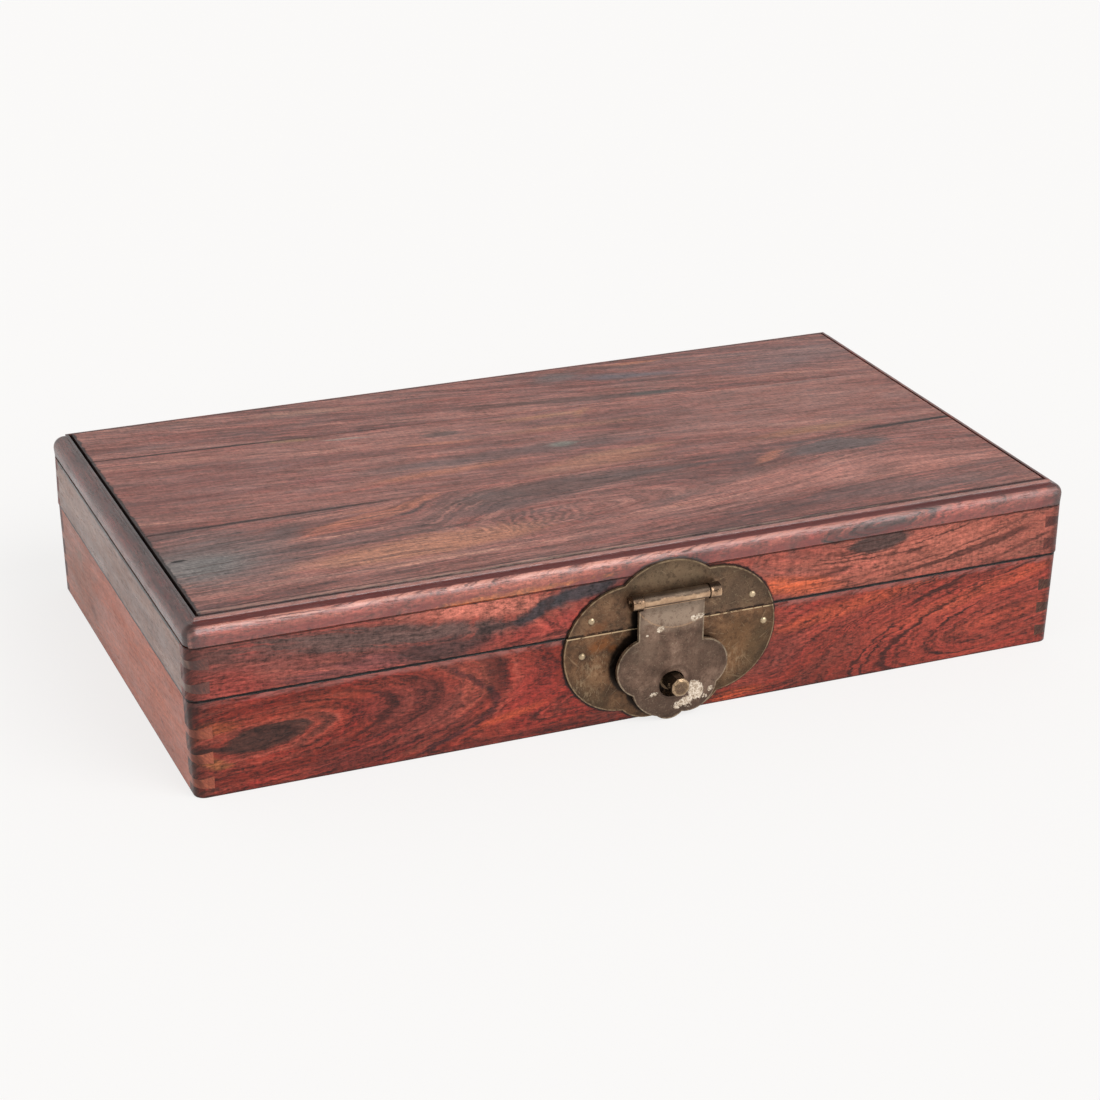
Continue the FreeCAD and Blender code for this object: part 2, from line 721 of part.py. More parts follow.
def make_hinge_nails(up):
    """Three nails in each leaf, built at the front and turned to the back."""
    face_y = lid_half_depth if up > 0 else half_depth
    head_y = -(face_y + hinge_leaf_thickness)
    nails = []
    for x in (-hinge_x, hinge_x):
        places = [(-hinge_lobe_offset, hinge_lobe_rise), (hinge_lobe_offset, hinge_lobe_rise),
                  (0, hinge_crown_rise)]
        for offset, rise in places:
            nail = round_nail(x + offset, split_z + up * rise, head_y, hinge_nail_head_radius,
                              hinge_nail_head_height, hinge_nail_shank_radius, hinge_nail_length)
            nails.append(mirror_y(nail))
    return nails


def main():
    parts = {}
    base = make_base_boards()
    lid = make_lid_boards()
    rim = make_rim()
    lid_plate, base_plate = make_lock_plates()
    lid_pins = make_lock_pins(lid_plate_front_y, lock_x, lid_pin_offset, lid_pin_z, 0)
    base_pins = make_lock_pins(base_plate_front_y, lock_x + base_pin_shift, base_pin_offset,
                               base_pin_z, base_pin_skew)
    lid_nails = make_hinge_nails(1)
    base_nails = make_hinge_nails(-1)
    eye_slots = [eye_shank(side, eye_slot_clearance) for side in (-1, 1)]

    base["front"] = cut_all(base["front"], base_pins + [post_hole()])
    base["back"] = cut_all(base["back"], base_nails)
    lid["front"] = cut_all(lid["front"], lid_pins + eye_slots)
    lid["back"] = cut_all(lid["back"], lid_nails)
    parts["lock_plate_lid"] = cut_all(lid_plate, lid_pins + eye_slots)
    parts["lock_plate_base"] = cut_all(base_plate, base_pins + [post_hole()])

    for side in ("front", "back", "left", "right"):
        parts["base_" + side] = base[side]
        parts["lid_" + side] = lid[side]
        parts["lid_rim_" + side] = rim[side]
    for name, board in make_bottom_boards().items():
        parts["base_bottom_" + name] = board
    for name, board in make_panel_boards().items():
        parts["lid_panel_" + name] = board
    parts["divider_cross"] = cross_divider_block().cut(long_divider_block())
    parts["divider_long"] = long_divider_block()
    parts["lid_batten_left"] = make_batten(-batten_x)
    parts["lid_batten_right"] = make_batten(batten_x)

    parts["lock_plate_pins_lid"] = Part.makeCompound(lid_pins)
    parts["lock_plate_pins_base"] = Part.makeCompound(base_pins)
    parts["hasp"] = make_hasp()
    parts["hasp_eye_left"] = make_hasp_eye(-1)
    parts["hasp_eye_right"] = make_hasp_eye(1)
    parts["hasp_pin"] = make_hasp_pin()
    parts["lock_post"] = make_lock_post()
    parts["lock_post_washer"] = make_washer()

    for side, x in (("left", -hinge_x), ("right", hinge_x)):
        parts["hinge_leaf_lid_" + side] = cut_all(make_hinge_leaf(x, 1), lid_nails)
        parts["hinge_leaf_base_" + side] = cut_all(make_hinge_leaf(x, -1), base_nails)
        parts["hinge_pin_" + side] = make_hinge_pin(x)
    parts["hinge_nails_lid"] = Part.makeCompound(lid_nails)
    parts["hinge_nails_base"] = Part.makeCompound(base_nails)

    os.makedirs("parts", exist_ok=True)
    for name, shape in parts.items():
        shape.exportStep("parts/" + name + ".step")
        print(name, len(shape.Solids), round(shape.Volume, 2), shape.isValid())


main()
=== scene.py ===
import bmesh
import bpy
import json
import math
from mathutils import Matrix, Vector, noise


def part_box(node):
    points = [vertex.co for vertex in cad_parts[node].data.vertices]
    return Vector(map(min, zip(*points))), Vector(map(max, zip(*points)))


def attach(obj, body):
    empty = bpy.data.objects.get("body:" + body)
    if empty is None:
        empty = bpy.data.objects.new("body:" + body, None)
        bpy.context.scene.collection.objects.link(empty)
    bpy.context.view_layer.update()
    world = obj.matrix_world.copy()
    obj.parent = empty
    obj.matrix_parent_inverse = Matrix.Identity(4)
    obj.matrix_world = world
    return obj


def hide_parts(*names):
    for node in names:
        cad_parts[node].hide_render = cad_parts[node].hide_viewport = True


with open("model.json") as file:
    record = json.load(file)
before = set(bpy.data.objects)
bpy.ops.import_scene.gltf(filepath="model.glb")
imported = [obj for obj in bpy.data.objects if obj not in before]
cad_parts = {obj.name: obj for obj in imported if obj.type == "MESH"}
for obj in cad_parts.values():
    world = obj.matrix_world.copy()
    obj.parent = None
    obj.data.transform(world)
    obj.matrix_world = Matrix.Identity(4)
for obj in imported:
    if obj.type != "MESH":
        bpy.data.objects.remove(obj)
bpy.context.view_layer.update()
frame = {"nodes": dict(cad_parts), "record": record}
mm = 0.001
nodeBodies = {}  # CAD node -> body it moves with
for bodyName, members in frame["record"]["behaviour"]["bodies"].items():
    for member in members:
        nodeBodies[member] = bodyName
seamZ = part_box("lid_rim_front")[0].z  # seam under the rim
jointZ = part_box("lid_front")[0].z  # joint of base and lid
halfLid = (200.4, 110.65)  # half the lid's length and depth, in mm
print("frame loaded:", len(frame["nodes"]), "nodes")

bench = {"tree": None}  # the node tree that is being built


def connect(value, socket):
    if isinstance(value, bpy.types.NodeSocket):
        bench["tree"].links.new(value, socket)
    else:
        socket.default_value = value


def addNode(kind, inputs=None, **settings):
    node = bench["tree"].nodes.new("ShaderNode" + kind)
    for name, value in settings.items():
        setattr(node, name, value)
    for name, value in (inputs or {}).items():
        connect(value, node.inputs[name])
    return node


def calc(operation, *values):
    node = addNode("Math", operation=operation)
    for socket, value in zip(node.inputs, values):
        connect(value, socket)
    return node.outputs[0]


def times(first, *others):
    for other in others:
        first = calc("MULTIPLY", first, other)
    return first


def plus(first, second):
    return calc("ADD", first, second)


def minus(first, second):
    return calc("SUBTRACT", first, second)


def timesPlus(first, second, third):  # first * second + third
    return calc("MULTIPLY_ADD", first, second, third)


def unsigned(value):
    return calc("ABSOLUTE", value)


def vectorCalc(operation, first, second):
    node = addNode("VectorMath", {0: first}, operation=operation)
    connect(second, node.inputs["Scale" if operation == "SCALE" else 1])
    return node.outputs["Vector"]


def split(vector):
    return addNode("SeparateXYZ", {0: vector}).outputs


def joined(x, y, z=0.0):
    return addNode("CombineXYZ", {0: x, 1: y, 2: z}).outputs[0]


def apart(first, second):  # the distance of two points
    return addNode("VectorMath", {0: first, 1: second}, operation="DISTANCE").outputs["Value"]


def ease(value, low, high):  # 0 at low, 1 at high, also downwards
    return addNode("MapRange", {"Value": value, "From Min": low, "From Max": high},
                   interpolation_type="SMOOTHSTEP").outputs["Result"]


def between(value, low, high, soft):  # 1 from low to high, 0 beyond
    return times(ease(value, low - soft, low + soft), ease(value, high + soft, high - soft))


def shade(code):  # "7e4139" as the renderer's linear colour
    channels = [int(code[i:i + 2], 16) / 255 for i in (0, 2, 4)]
    linear = [c / 12.92 if c <= 0.04045 else ((c + 0.055) / 1.055) ** 2.4 for c in channels]
    return (*linear, 1.0)


def mixColour(factor, first, second):
    node = addNode("Mix", {0: factor, 6: first, 7: second}, data_type="RGBA")
    return node.outputs[2]


def paint(colour, code, *masks):  # one colour over another, where every mask is 1
    return mixColour(times(*masks), colour, shade(code))


def colourRamp(factor, stops):
    node = addNode("ValToRGB", {"Fac": factor})
    elements = node.color_ramp.elements
    elements[0].position, elements[0].color = stops[0][0], shade(stops[0][1])
    elements[1].position, elements[1].color = stops[-1][0], shade(stops[-1][1])
    for position, code in stops[1:-1]:
        elements.new(position).color = shade(code)
    return node.outputs["Color"]


def streaks(coords, stretch, detail, roughness, output=0):  # noise, drawn out by the stretch
    return addNode("TexNoise",
                   {"Vector": vectorCalc("MULTIPLY", coords, stretch), "Scale": 1.0,
                    "Detail": detail, "Roughness": roughness}).outputs[output]


def stir(value, field, amount):  # pushes a value up and down by a noise
    return plus(times(minus(field, 0.5), amount), value)


def ovalPlace(coords, centre, half, tilt=0.0):  # coordinates in which an oval is the unit circle
    return addNode("Mapping",
                   {"Vector": coords, "Location": (*centre, 0), "Scale": (*half, 1e6),
                    "Rotation": (0, 0, math.radians(tilt))}, vector_type="TEXTURE").outputs[0]


def reachFrom(coords, centre, half, tilt=0.0):  # 1 on the edge of an oval, less inside it
    return addNode("VectorMath", {0: ovalPlace(coords, centre, half, tilt)},
                   operation="LENGTH").outputs["Value"]


def paintPatches(colour, coords, fray, patches):
    # patches: centre, half sizes, tilt, colour, strength, softness
    for centre, half, tilt, code, strength, soft in patches:
        reach = plus(reachFrom(coords, centre, half, tilt), fray)
        colour = paint(colour, code, ease(reach, 1 + soft, 1 - soft), strength)
    return colour


def objectPlace():  # in millimetres
    return vectorCalc("SCALE", addNode("TexCoord").outputs["Object"], 1 / mm)


def objectNormal():  # turns with its own piece
    return split(addNode("TexCoord").outputs["Normal"])


def newMaterial(name):
    material = bpy.data.materials.new(name)
    material.use_nodes = True
    bench["tree"] = material.node_tree
    bench["tree"].nodes.clear()
    shader = addNode("BsdfPrincipled")
    addNode("OutputMaterial", {"Surface": shader.outputs[0]})
    return material, shader


def finishShader(shader, colour, rough, reliefs):  # reliefs: height, depth, strength
    normal = {}
    for height, depth, strength in reliefs:
        bump = addNode("Bump",
                       {"Strength": strength, "Distance": depth, "Height": height, **normal})
        normal = {"Normal": bump.outputs[0]}
    connect(colour, shader.inputs["Base Color"])
    connect(rough, shader.inputs["Roughness"])
    connect(normal["Normal"], shader.inputs["Normal"])


plateRounds = [(-11.4, 34.4, 28.9), (28.3, 36.2, 29.3), (7.4, 43.0, 29.0), (-1.1, 16.3, 16),
               (18.3, 16.3, 16)]
haspRounds = [(-4.7, 26.2, 13.5), (21.4, 23.6, 11.8), (5.1, 18.2, 16.2), (15.2, 15.7, 13.2),
              (6.5, 8.9, 8.5)]
haspNeck = (6.4, 15.0, 26.0, 54.0)  # middle, half width, lower and upper end
postCentre = (8.7, 17.4)


def outlineDistance(flat, rounds, neck=None):  # below 0 inside the lobes, above 0 outside them
    nearest = 99.0
    for cx, cz, radius in rounds:
        nearest = calc("MINIMUM", minus(apart(flat, (cx, cz, 0)), radius), nearest)
    if neck:
        x, z = split(flat)[:2]
        side = minus(unsigned(minus(x, neck[0])), neck[1])
        ends = calc("MAXIMUM", minus(neck[2], z), minus(z, neck[3]))
        nearest = calc("MINIMUM", calc("MAXIMUM", side, ends), nearest)
    return nearest


# rosewood: lengths in millimetres along (u), across (v) and into (w) the board
scribeLine = (0.010, 2.0)  # slope and offset of the line scribed askew
topSeam = (0.06125, -55.5)  # slope and offset of the slanting seam


def boardPlace(face):
    x, y, z = split(objectPlace())
    toEnd, toSide = minus(halfLid[0], unsigned(x)), minus(halfLid[1], unsigned(y))
    place = {"x": x, "y": y, "z": z, "toEnd": toEnd, "toSide": toSide,
             "inset": toEnd if face == "end" else toSide,
             "skew": timesPlus(x, scribeLine[0], plus(y, scribeLine[1])),
             "seam": timesPlus(x, topSeam[0], plus(y, topSeam[1]))}
    rolled = plus(z, place["inset"])  # the moulding's grain unrolls upwards
    along = {"end": (y, rolled, x), "front": (x, rolled, y), "top": (x, y, z)}[face]
    return joined(*along), place


def jostle(coords, stretch, reach):  # pushes a pattern about, so that nothing runs straight
    push = vectorCalc("SUBTRACT", streaks(coords, stretch, 2.0, 0.5, output=1), (0.5, 0.5, 0.5))
    return vectorCalc("ADD", coords, vectorCalc("MULTIPLY", push, reach))


def ringField(coords, look):  # a height whose contours are the growth rings
    along, across = split(coords)[:2]
    field = timesPlus(along, look["slope"], plus(across, look["flowShift"]))
    for centre, half, height in look["bends"]:
        local = ovalPlace(coords, centre, half)
        squared = addNode("VectorMath", {0: local, 1: local}, operation="DOT_PRODUCT")
        falloff = calc("EXPONENT", times(squared.outputs["Value"], -1.0))
        field = timesPlus(falloff, height, field)
    for centre, stretch, tilt, tail, shift in look["knots"]:
        u, v = split(ovalPlace(coords, centre, (stretch, 1), tilt))[:2]
        u = plus(calc("MAXIMUM", u, 0.0), times(calc("MINIMUM", u, 0.0), tail))
        reach = calc("SQRT", timesPlus(u, u, times(v, v)))
        field = calc("SMOOTH_MIN", field, plus(reach, shift), look["blend"])
    return along, field


woodHabits = {  # what a wood has, where its own look says nothing
    "slope": 0.0, "flowShift": 0.0, "bends": (), "knots": (), "blend": 7.0, "tint": 0.5,
    "redTint": "8a2620", "brownTint": "4a2a22", "fray": 1.5, "patches": (), "marks": (),
    "ripples": (), "lineStep": 0.10, "lineCount": 11.0, "lineRise": 0.0, "lineColour": "2a100c",
    "silk": 0.8, "endGrain": None, "endBands": (), "strips": (), "cornerGrime": 0.6,
    "plateShadowAndDirt": 0.0, "roughSlope": 0.0, "specular": 0.5, "waves": 0.00035,
}
seedStep, ringStep, brassStep = 137.0, 11.3, 91.0  # how far apart two seeds' patterns lie


def growth(look, plain):  # the rings, as coordinates, and what they bend
    drifted = jostle(plain, (0.022, 0.07, 0.02), (look["wander"] * 4.0, look["wander"], 0))
    warped = jostle(drifted, (0.11, 0.40, 0.05), (8.0, 1.8, 0))
    ragged = jostle(warped, (0.40, 1.1, 0.3), (4.5, 1.3, 0))
    along, field = ringField(ragged, look)
    return drifted, warped, joined(along, field, look["seed"] * ringStep)


def growthLines(colour, look, rings, place):
    contours = streaks(rings, (0.004, look["lineStep"], 1.0), 1.0, 0.5)
    ridge = unsigned(minus(calc("FRACT", times(contours, look["lineCount"])), 0.5))
    broken = streaks(rings, (0.03, 0.16, 1.0), 2.0, 0.6)
    lineMask = times(ease(ridge, 0.26, 0.04), ease(broken, 0.36, 0.60))
    clearer = ease(place["x"], 40.0, 100.0)  # the lines stand out more to the right
    return paint(colour, look["lineColour"], lineMask,
                 timesPlus(clearer, look["lineRise"], look["lines"]))


def curl(colour, look, warped, fray):  # ripples across the grain, in short arcs
    for focus, period, centre, half, code, strength in look["ripples"]:
        arcs = calc("FRACT", calc("DIVIDE", reachFrom(warped, focus, (1, 1)), period))
        within = plus(reachFrom(warped, centre, half), fray)
        colour = paint(colour, code, ease(unsigned(minus(arcs, 0.5)), 0.36, 0.08),
                       ease(within, 1.4, 0.6), strength)
    return colour


def endGrain(colour, look, plain, place, normals):
    specks = streaks(plain, (0.7, 0.7, 0.7), 4.0, 0.8)
    endColour = colourRamp(specks, look["endGrain"])
    for low, high, code, share in look["endBands"]:
        endColour = paint(endColour, code, between(stir(place["z"], specks, 6.0), low, high, 0.8),
                          share)
    endMask = ease(unsigned(normals[look["endAxis"]]), 0.60, 0.85)
    return mixColour(times(endMask, look["endShare"]), colour, endColour)


def paintStrips(colour, look, place, smudge, fibres, upright):
    for kind, low, high, soft, code, strength, wobble, *span in look["strips"]:
        inside = between(stir(place[kind], smudge, wobble), low, high, soft)
        if span:  # it shows along a part of the board only
            inside = times(inside, between(place["y" if look["face"] == "end" else "x"], *span))
        if kind == "z":
            inside = times(inside, upright)
        if soft > 0.3:  # broad strips are worn unevenly
            inside = times(inside, ease(fibres, 0.30, 0.62))
        colour = paint(colour, code, inside, strength)
    return colour


def paintGrimeAndShadow(colour, look, place, smudge, normals):
    toEnd, toSide = place["toEnd"], place["toSide"]
    corner = calc("SQRT", timesPlus(toEnd, toEnd, times(toSide, toSide)))
    colour = paint(colour, "26110e", ease(stir(corner, smudge, 14.0), 9.0, 1.5),
                   look["cornerGrime"])
    if look["plateShadowAndDirt"]:  # painted shadow and dirt gathered round the lock plate
        nearest = stir(outlineDistance(joined(place["x"], place["z"]), plateRounds), smudge, 3.0)
        colour = paint(colour, "140806", ease(nearest, 1.35, 0.45), ease(normals[1], -0.2, -0.5),
                       look["plateShadowAndDirt"])
    return colour


def makeWood(name, look):
    look = {**woodHabits, **look}
    material, shader = newMaterial(name)
    plain, place = boardPlace(look["face"])
    plain = vectorCalc("ADD", plain, (0, 0, look["seed"] * seedStep))
    drifted, warped, rings = growth(look, plain)

    broad = streaks(rings, (0.006, 0.09, 1.0), 2.0, 0.5)
    bands = streaks(rings, (0.016, 0.40, 1.0), 4.0, 0.7)
    fibres = streaks(rings, (0.055, 0.95, 1.0), 3.0, 0.65)
    tone = timesPlus(broad, look["broad"], 0.5 - 0.5 * (look["broad"] + look["bands"]))
    colour = colourRamp(timesPlus(bands, look["bands"], tone), look["ramp"])
    tint = streaks(rings, (0.035, 0.24, 1.0), 3.0, 0.6)  # redder and browner growth
    colour = paint(colour, look["redTint"], ease(tint, 0.52, 0.66), look["tint"])
    colour = paint(colour, look["brownTint"], ease(tint, 0.47, 0.34), look["tint"])

    fray = stir(times(minus(fibres, 0.5), look["fray"]), bands, look["fray"])
    colour = paintPatches(colour, warped, fray, look["patches"])
    colour = paintPatches(colour, warped, times(fray, 0.3), look["marks"])
    colour = curl(colour, look, warped, fray)
    colour = growthLines(colour, look, rings, place)

    mottle = streaks(drifted, (0.38, 0.95, 0.5), 4.0, 0.75)
    silk = streaks(plain, (0.95, 0.22, 0.2), 2.0, 0.6)  # cross figure, short and upright
    poreMask = ease(streaks(drifted, (0.16, 1.5, 0.6), 2.0, 0.6), 0.58, 0.68)
    value = stir(stir(1.0, fibres, look["fibres"]), mottle, look["mottle"])
    value = timesPlus(poreMask, -look["pores"], stir(value, silk, look["silk"]))
    colour = addNode("HueSaturation",
                     {"Value": calc("MAXIMUM", value, 0.25), "Color": colour}).outputs[0]

    normals = objectNormal()
    if look["endGrain"]:
        colour = endGrain(colour, look, plain, place, normals)
    smudge = streaks(plain, (0.22, 0.22, 0.22), 4.0, 0.65)
    upright = ease(unsigned(normals[2]), 0.98, 0.90)  # not the meeting faces
    colour = paintStrips(colour, look, place, smudge, fibres, upright)
    colour = paintGrimeAndShadow(colour, look, place, smudge, normals)

    wear = streaks(plain, (0.03, 0.10, 0.05), 4.0, 0.65)
    rough = timesPlus(place["x"], look["roughSlope"], stir(look["rough"], wear, 0.45))
    shader.inputs["Specular IOR Level"].default_value = look["specular"]
    planed = streaks(plain, (0.035, 0.12, 0.1), 2.0, 0.5)
    finishShader(shader, colour, timesPlus(poreMask, 0.15, rough),
                 ((planed, look["waves"], 1.0), (minus(times(mottle, 0.7), poreMask), 0.00008, 0.8)))
    return material


redRamp = [(0.30, "35110a"), (0.37, "4d190f"), (0.45, "641f15"), (0.50, "70261b"),
           (0.55, "7b2e22"), (0.64, "8b3e31"), (0.76, "a3523c")]
lidRamp = [(0.30, "3c1812"), (0.38, "5b251d"), (0.45, "73322a"), (0.50, "7f3b30"),
           (0.56, "8b4438"), (0.65, "a35746"), (0.76, "bd6c50")]
topRamp = [(0.26, "442522"), (0.38, "683c35"), (0.46, "804c43"), (0.50, "8a564b"),
           (0.56, "986257"), (0.64, "aa7263"), (0.76, "c28a74")]
darkEnd = [(0.38, "20140f"), (0.50, "3d2b22"), (0.62, "574332")]
ruddyEnd = [(0.36, "3a1711"), (0.50, "6a2d20"), (0.58, "82402a"), (0.68, "b0713c")]
# splitShade is painted shade for the gap between base and lid; footShade is painted shade along the foot
seamDark, splitShade, footShade = "1c0d0a", "0a0403", "240e0a"
baseSplit = ("z", 42.7, 46.0, 0.12, splitShade, 1.0, 0.8)  # painted shade in the gap where base and lid meet
lidSplit = ("z", 43.0, 44.2, 0.12, splitShade, 1.0, 0.8)
# painted shade and grime in the groove between the left rim and the top boards
leftGroove = ("x", -197, -191.4, 0.3, "1d0f0b", 0.95, 4.0)

baseFrontWood = {
    "face": "front", "seed": 1, "wander": 2.5, "broad": 0.45, "bands": 0.68, "fibres": 2.9,
    "mottle": 3.6, "pores": 0.35, "ramp": redRamp, "rough": 0.42, "specular": 0.3,
    "flowShift": 30.0, "lines": 0.7, "lineRise": 0.2, "lineCount": 10.0,
    # knots: centre, stretch along the grain, tilt, pull of the far side, shift
    "knots": [((-167, 23), 3.8, 6, 0.5, 0.0), ((170, 17), 3.2, 192, 0.3, 2.0)],
    # patches: centre, half sizes, tilt, colour, strength, softness
    "patches": [
        ((-103, 23), (22, 14), -10, "63302a", 0.55, 0.5), ((-128, 8), (22, 5), 8, "4b201d", 0.6, 0.6),
        ((-150, 33), (34, 4), 6, "7e3322", 0.5, 0.6), ((-136, 26), (3, 9), 0, "96382a", 0.5, 0.6),
        ((-190, 30), (10, 3), 0, "8f4a2a", 0.6, 0.6), ((-192, 16), (7, 2), -20, "946034", 0.6, 0.6),
        ((-82, 33.5), (12, 1.7), -39, "38191a", 0.8, 0.5),
        ((-71.5, 23), (6.5, 1.6), -58, "38191a", 0.8, 0.5),
        ((-74.5, 15), (8.5, 1.6), 36, "38191a", 0.8, 0.5),
        ((-92, 6.5), (15, 1.4), 20, "38191a", 0.8, 0.5), ((-55, 20), (12, 14), -15, "97312a", 0.5, 0.7),
        ((-62, 13), (14, 1.6), 12, "b04a2e", 0.6, 0.6), ((62, 20), (16, 9), 28, "41201f", 0.6, 0.6),
        ((92, 35), (38, 2.8), 9, "b3502e", 0.65, 0.6), ((40, 3), (14, 2.6), 4, "b24c2a", 0.7, 0.5),
        ((160, 32), (40, 3.4), 13, "b04f30", 0.6, 0.6), ((172, 18), (24, 3.0), 10, "a84a30", 0.4, 0.6),
        ((130, 24), (80, 22), 0, "9c4234", 0.5, 0.8), ((-118, 30), (10, 6), 0, "7a3028", 0.6, 0.6),
        ((-70, 2.5), (50, 1.2), 2, "3a1512", 0.6, 0.6)],
    # marks: the same, with clearer edges
    "marks": [
        ((-167.5, 23.3), (20.5, 5.3), 7, "42261f", 0.97, 0.14),
        ((-170, 22.6), (13, 2.6), 7, "351f1a", 0.6, 0.6),
        ((-194, 21.5), (12, 1.0), -3, "2b1813", 0.9, 0.4)],
    "endGrain": darkEnd, "endAxis": 0, "endShare": 0.5, "plateShadowAndDirt": 0.95,
    # strips: measure, from, to, softness, colour, strength, wobble, and where: from, to, fade
    "strips": [("z", 40.8, 43.4, 0.9, "8f625c", 0.6, 3.0), baseSplit,
               # painted shade along the foot's lower edge
               ("z", -1.0, 0.8, 0.3, footShade, 0.7, 1.0)],
}
lidFrontWood = {
    "face": "front", "seed": 2, "wander": 2.5, "broad": 0.4, "bands": 0.65, "fibres": 2.1,
    "mottle": 3.2, "pores": 0.22, "ramp": lidRamp, "rough": 0.40, "specular": 0.3,
    "flowShift": 14.0, "lines": 0.35, "lineRise": 0.5, "lineCount": 10.0,
    "redTint": "9c423a", "brownTint": "6a423b", "lineColour": "3c1c17",
    # bends: centre, half sizes, height
    "bends": [((-76, 56), (38, 30), 9.0), ((-190, 56), (50, 30), -5.0)],
    "knots": [((108, 72), 4.2, 5, 1.0, 26.0)],
    "patches": [
        ((-150, 57), (52, 11), 0, "70423c", 0.6, 0.7), ((-120, 58.5), (56, 4.4), -5, "5a4540", 0.9, 0.4),
        ((-125, 47.5), (32, 3.4), 0, "60383a", 0.6, 0.5), ((-94, 48.5), (19, 4.8), 0, "48302d", 0.9, 0.4),
        ((-69, 54.3), (13, 1.2), 3, "3b2927", 0.85, 0.4), ((-182, 50), (17, 5.5), -12, "84322a", 0.7, 0.6),
        ((-190, 62), (10, 6), 0, "4e3934", 0.6, 0.7), ((-76, 63.5), (32, 3.8), -3, "bd6d5c", 0.85, 0.5),
        ((-40, 51), (28, 4.5), 8, "9a3830", 0.65, 0.6), ((-45, 46.5), (22, 0.8), 4, "4a1c18", 0.7, 0.5),
        ((-60, 68.2), (34, 0.9), 1, "c46e2c", 0.8, 0.5), ((67, 50), (22, 3.8), -6, "c2552c", 0.95, 0.45),
        ((66, 60), (6, 2.0), 50, "4f221f", 0.6, 0.6), ((80, 61), (14, 1.2), -24, "54241f", 0.6, 0.6),
        ((150, 57), (48, 9), 8, "94503f", 0.45, 0.7), ((135, 55), (76, 13), 0, "ae6554", 0.55, 0.8)],
    "marks": [
        ((-50, 59), (13, 3.2), 22, "343033", 0.95, 0.4), ((-30, 64), (20, 3.2), 9, "343033", 0.95, 0.4),
        ((108, 63.5), (13.5, 4.6), 5, "463531", 0.95, 0.22)],
    "endGrain": darkEnd, "endAxis": 0, "endShare": 0.15, "plateShadowAndDirt": 0.95,
    # painted shade in the seam under the rim, and in the gap where lid and base meet
    "strips": [("z", 66.35, 67.2, 0.15, "2a120e", 0.85, 1.0), lidSplit],
}
rimFrontWood = dict(
    lidFrontWood, specular=1.0, rough=0.42, roughSlope=0.0004, waves=0.0005, plateShadowAndDirt=0.9,
    cornerGrime=0.8, marks=(),
    patches=[
        ((-150, 70), (60, 4), 0, "8c4a40", 0.6, 0.7), ((-60, 68.3), (34, 1.0), 1, "c8742e", 0.9, 0.5),
        ((-40, 73), (50, 4), 3, "b0624f", 0.6, 0.6), ((104, 69.5), (20, 3.0), 4, "3e302d", 0.95, 0.3),
        ((112, 74), (22, 2.6), 6, "5a3c38", 0.8, 0.5), ((140, 80), (26, 3.0), 4, "24110f", 0.95, 0.4),
        ((165, 71), (34, 4), 6, "8a4438", 0.6, 0.6)],
    # the first strip is painted shade in the seam under the rim
    strips=[("z", 66.35, 67.1, 0.15, "2a120e", 0.85, 1.0), ("z", 67.2, 70.6, 0.8, "6c2420", 0.75, 2.0),
            # painted highlight along the nose's shoulder, stronger to the left
            ("inset", 0.5, 2.1, 0.31, "d69280", 0.85, 0.5, -205, 60, 80),
            ("inset", 0.6, 2.1, 0.31, "b87464", 0.5, 0.5, 60, 195, 60),
            # painted shade in the cove, a lighter strip on the fillet, then painted shade and grime in the
            # groove by the top boards
            ("inset", 2.0, 5.1, 0.29, "520e0a", 0.92, 0.6), ("inset", 5.1, 5.6, 0.12, "a8766a", 0.5, 0.6),
            ("inset", 5.7, 6.1, 0.12, "1f0e0a", 0.8, 0.6), ("inset", 6.3, 9.0, 0.1, "150a08", 0.7, 0.0)])
baseLeftWood = {
    "face": "end", "seed": 3, "wander": 3.0, "broad": 0.5, "bands": 0.4, "fibres": 0.8, "slope": 0.12,
    "mottle": 1.3, "pores": 0.08, "silk": 0.5, "specular": 0.3, "tint": 0.0, "rough": 0.40, "lines": 0.15,
    "ramp": [(0.30, "8c4c3a"), (0.45, "a65a44"), (0.55, "b2634b"), (0.70, "c4755b")],
    "patches": [
        ((52, 13), (5, 1.6), 12, "6e382a", 0.7, 0.5), ((-64, 13.5), (3.0, 1.1), 12, "4f2018", 0.9, 0.5),
        ((72, 33), (6, 2.4), 0, "5f4a32", 0.6, 0.5), ((75, 20), (36, 22), 0, "8a5e4c", 0.6, 0.8),
        ((-35, 22), (62, 18), 0, "b4644a", 0.6, 0.8), ((50, 14), (9, 3), 25, "7c4534", 0.6, 0.6)],
    "endGrain": ruddyEnd, "endAxis": 1, "endShare": 0.45,
    # endBands: from, to, colour, share
    "endBands": [(21.0, 27.0, "3a281d", 0.6), (9.5, 15.5, "3a2a1d", 0.65)],
    # painted shade in the gap under the lid, and along the foot
    "strips": [baseSplit, ("z", -1.0, 0.8, 0.3, "5a2a20", 0.7, 1.0)],
}
hiddenSide = {"ramp": redRamp, "broad": 0.6, "bands": 0.5, "fibres": 2.2, "mottle": 2.8, "pores": 0.3,
              "lines": 0.5}
baseRightWood = {**baseLeftWood, **hiddenSide, "seed": 13, "endGrain": darkEnd, "endShare": 0.8,
                 "endBands": (), "patches": ()}
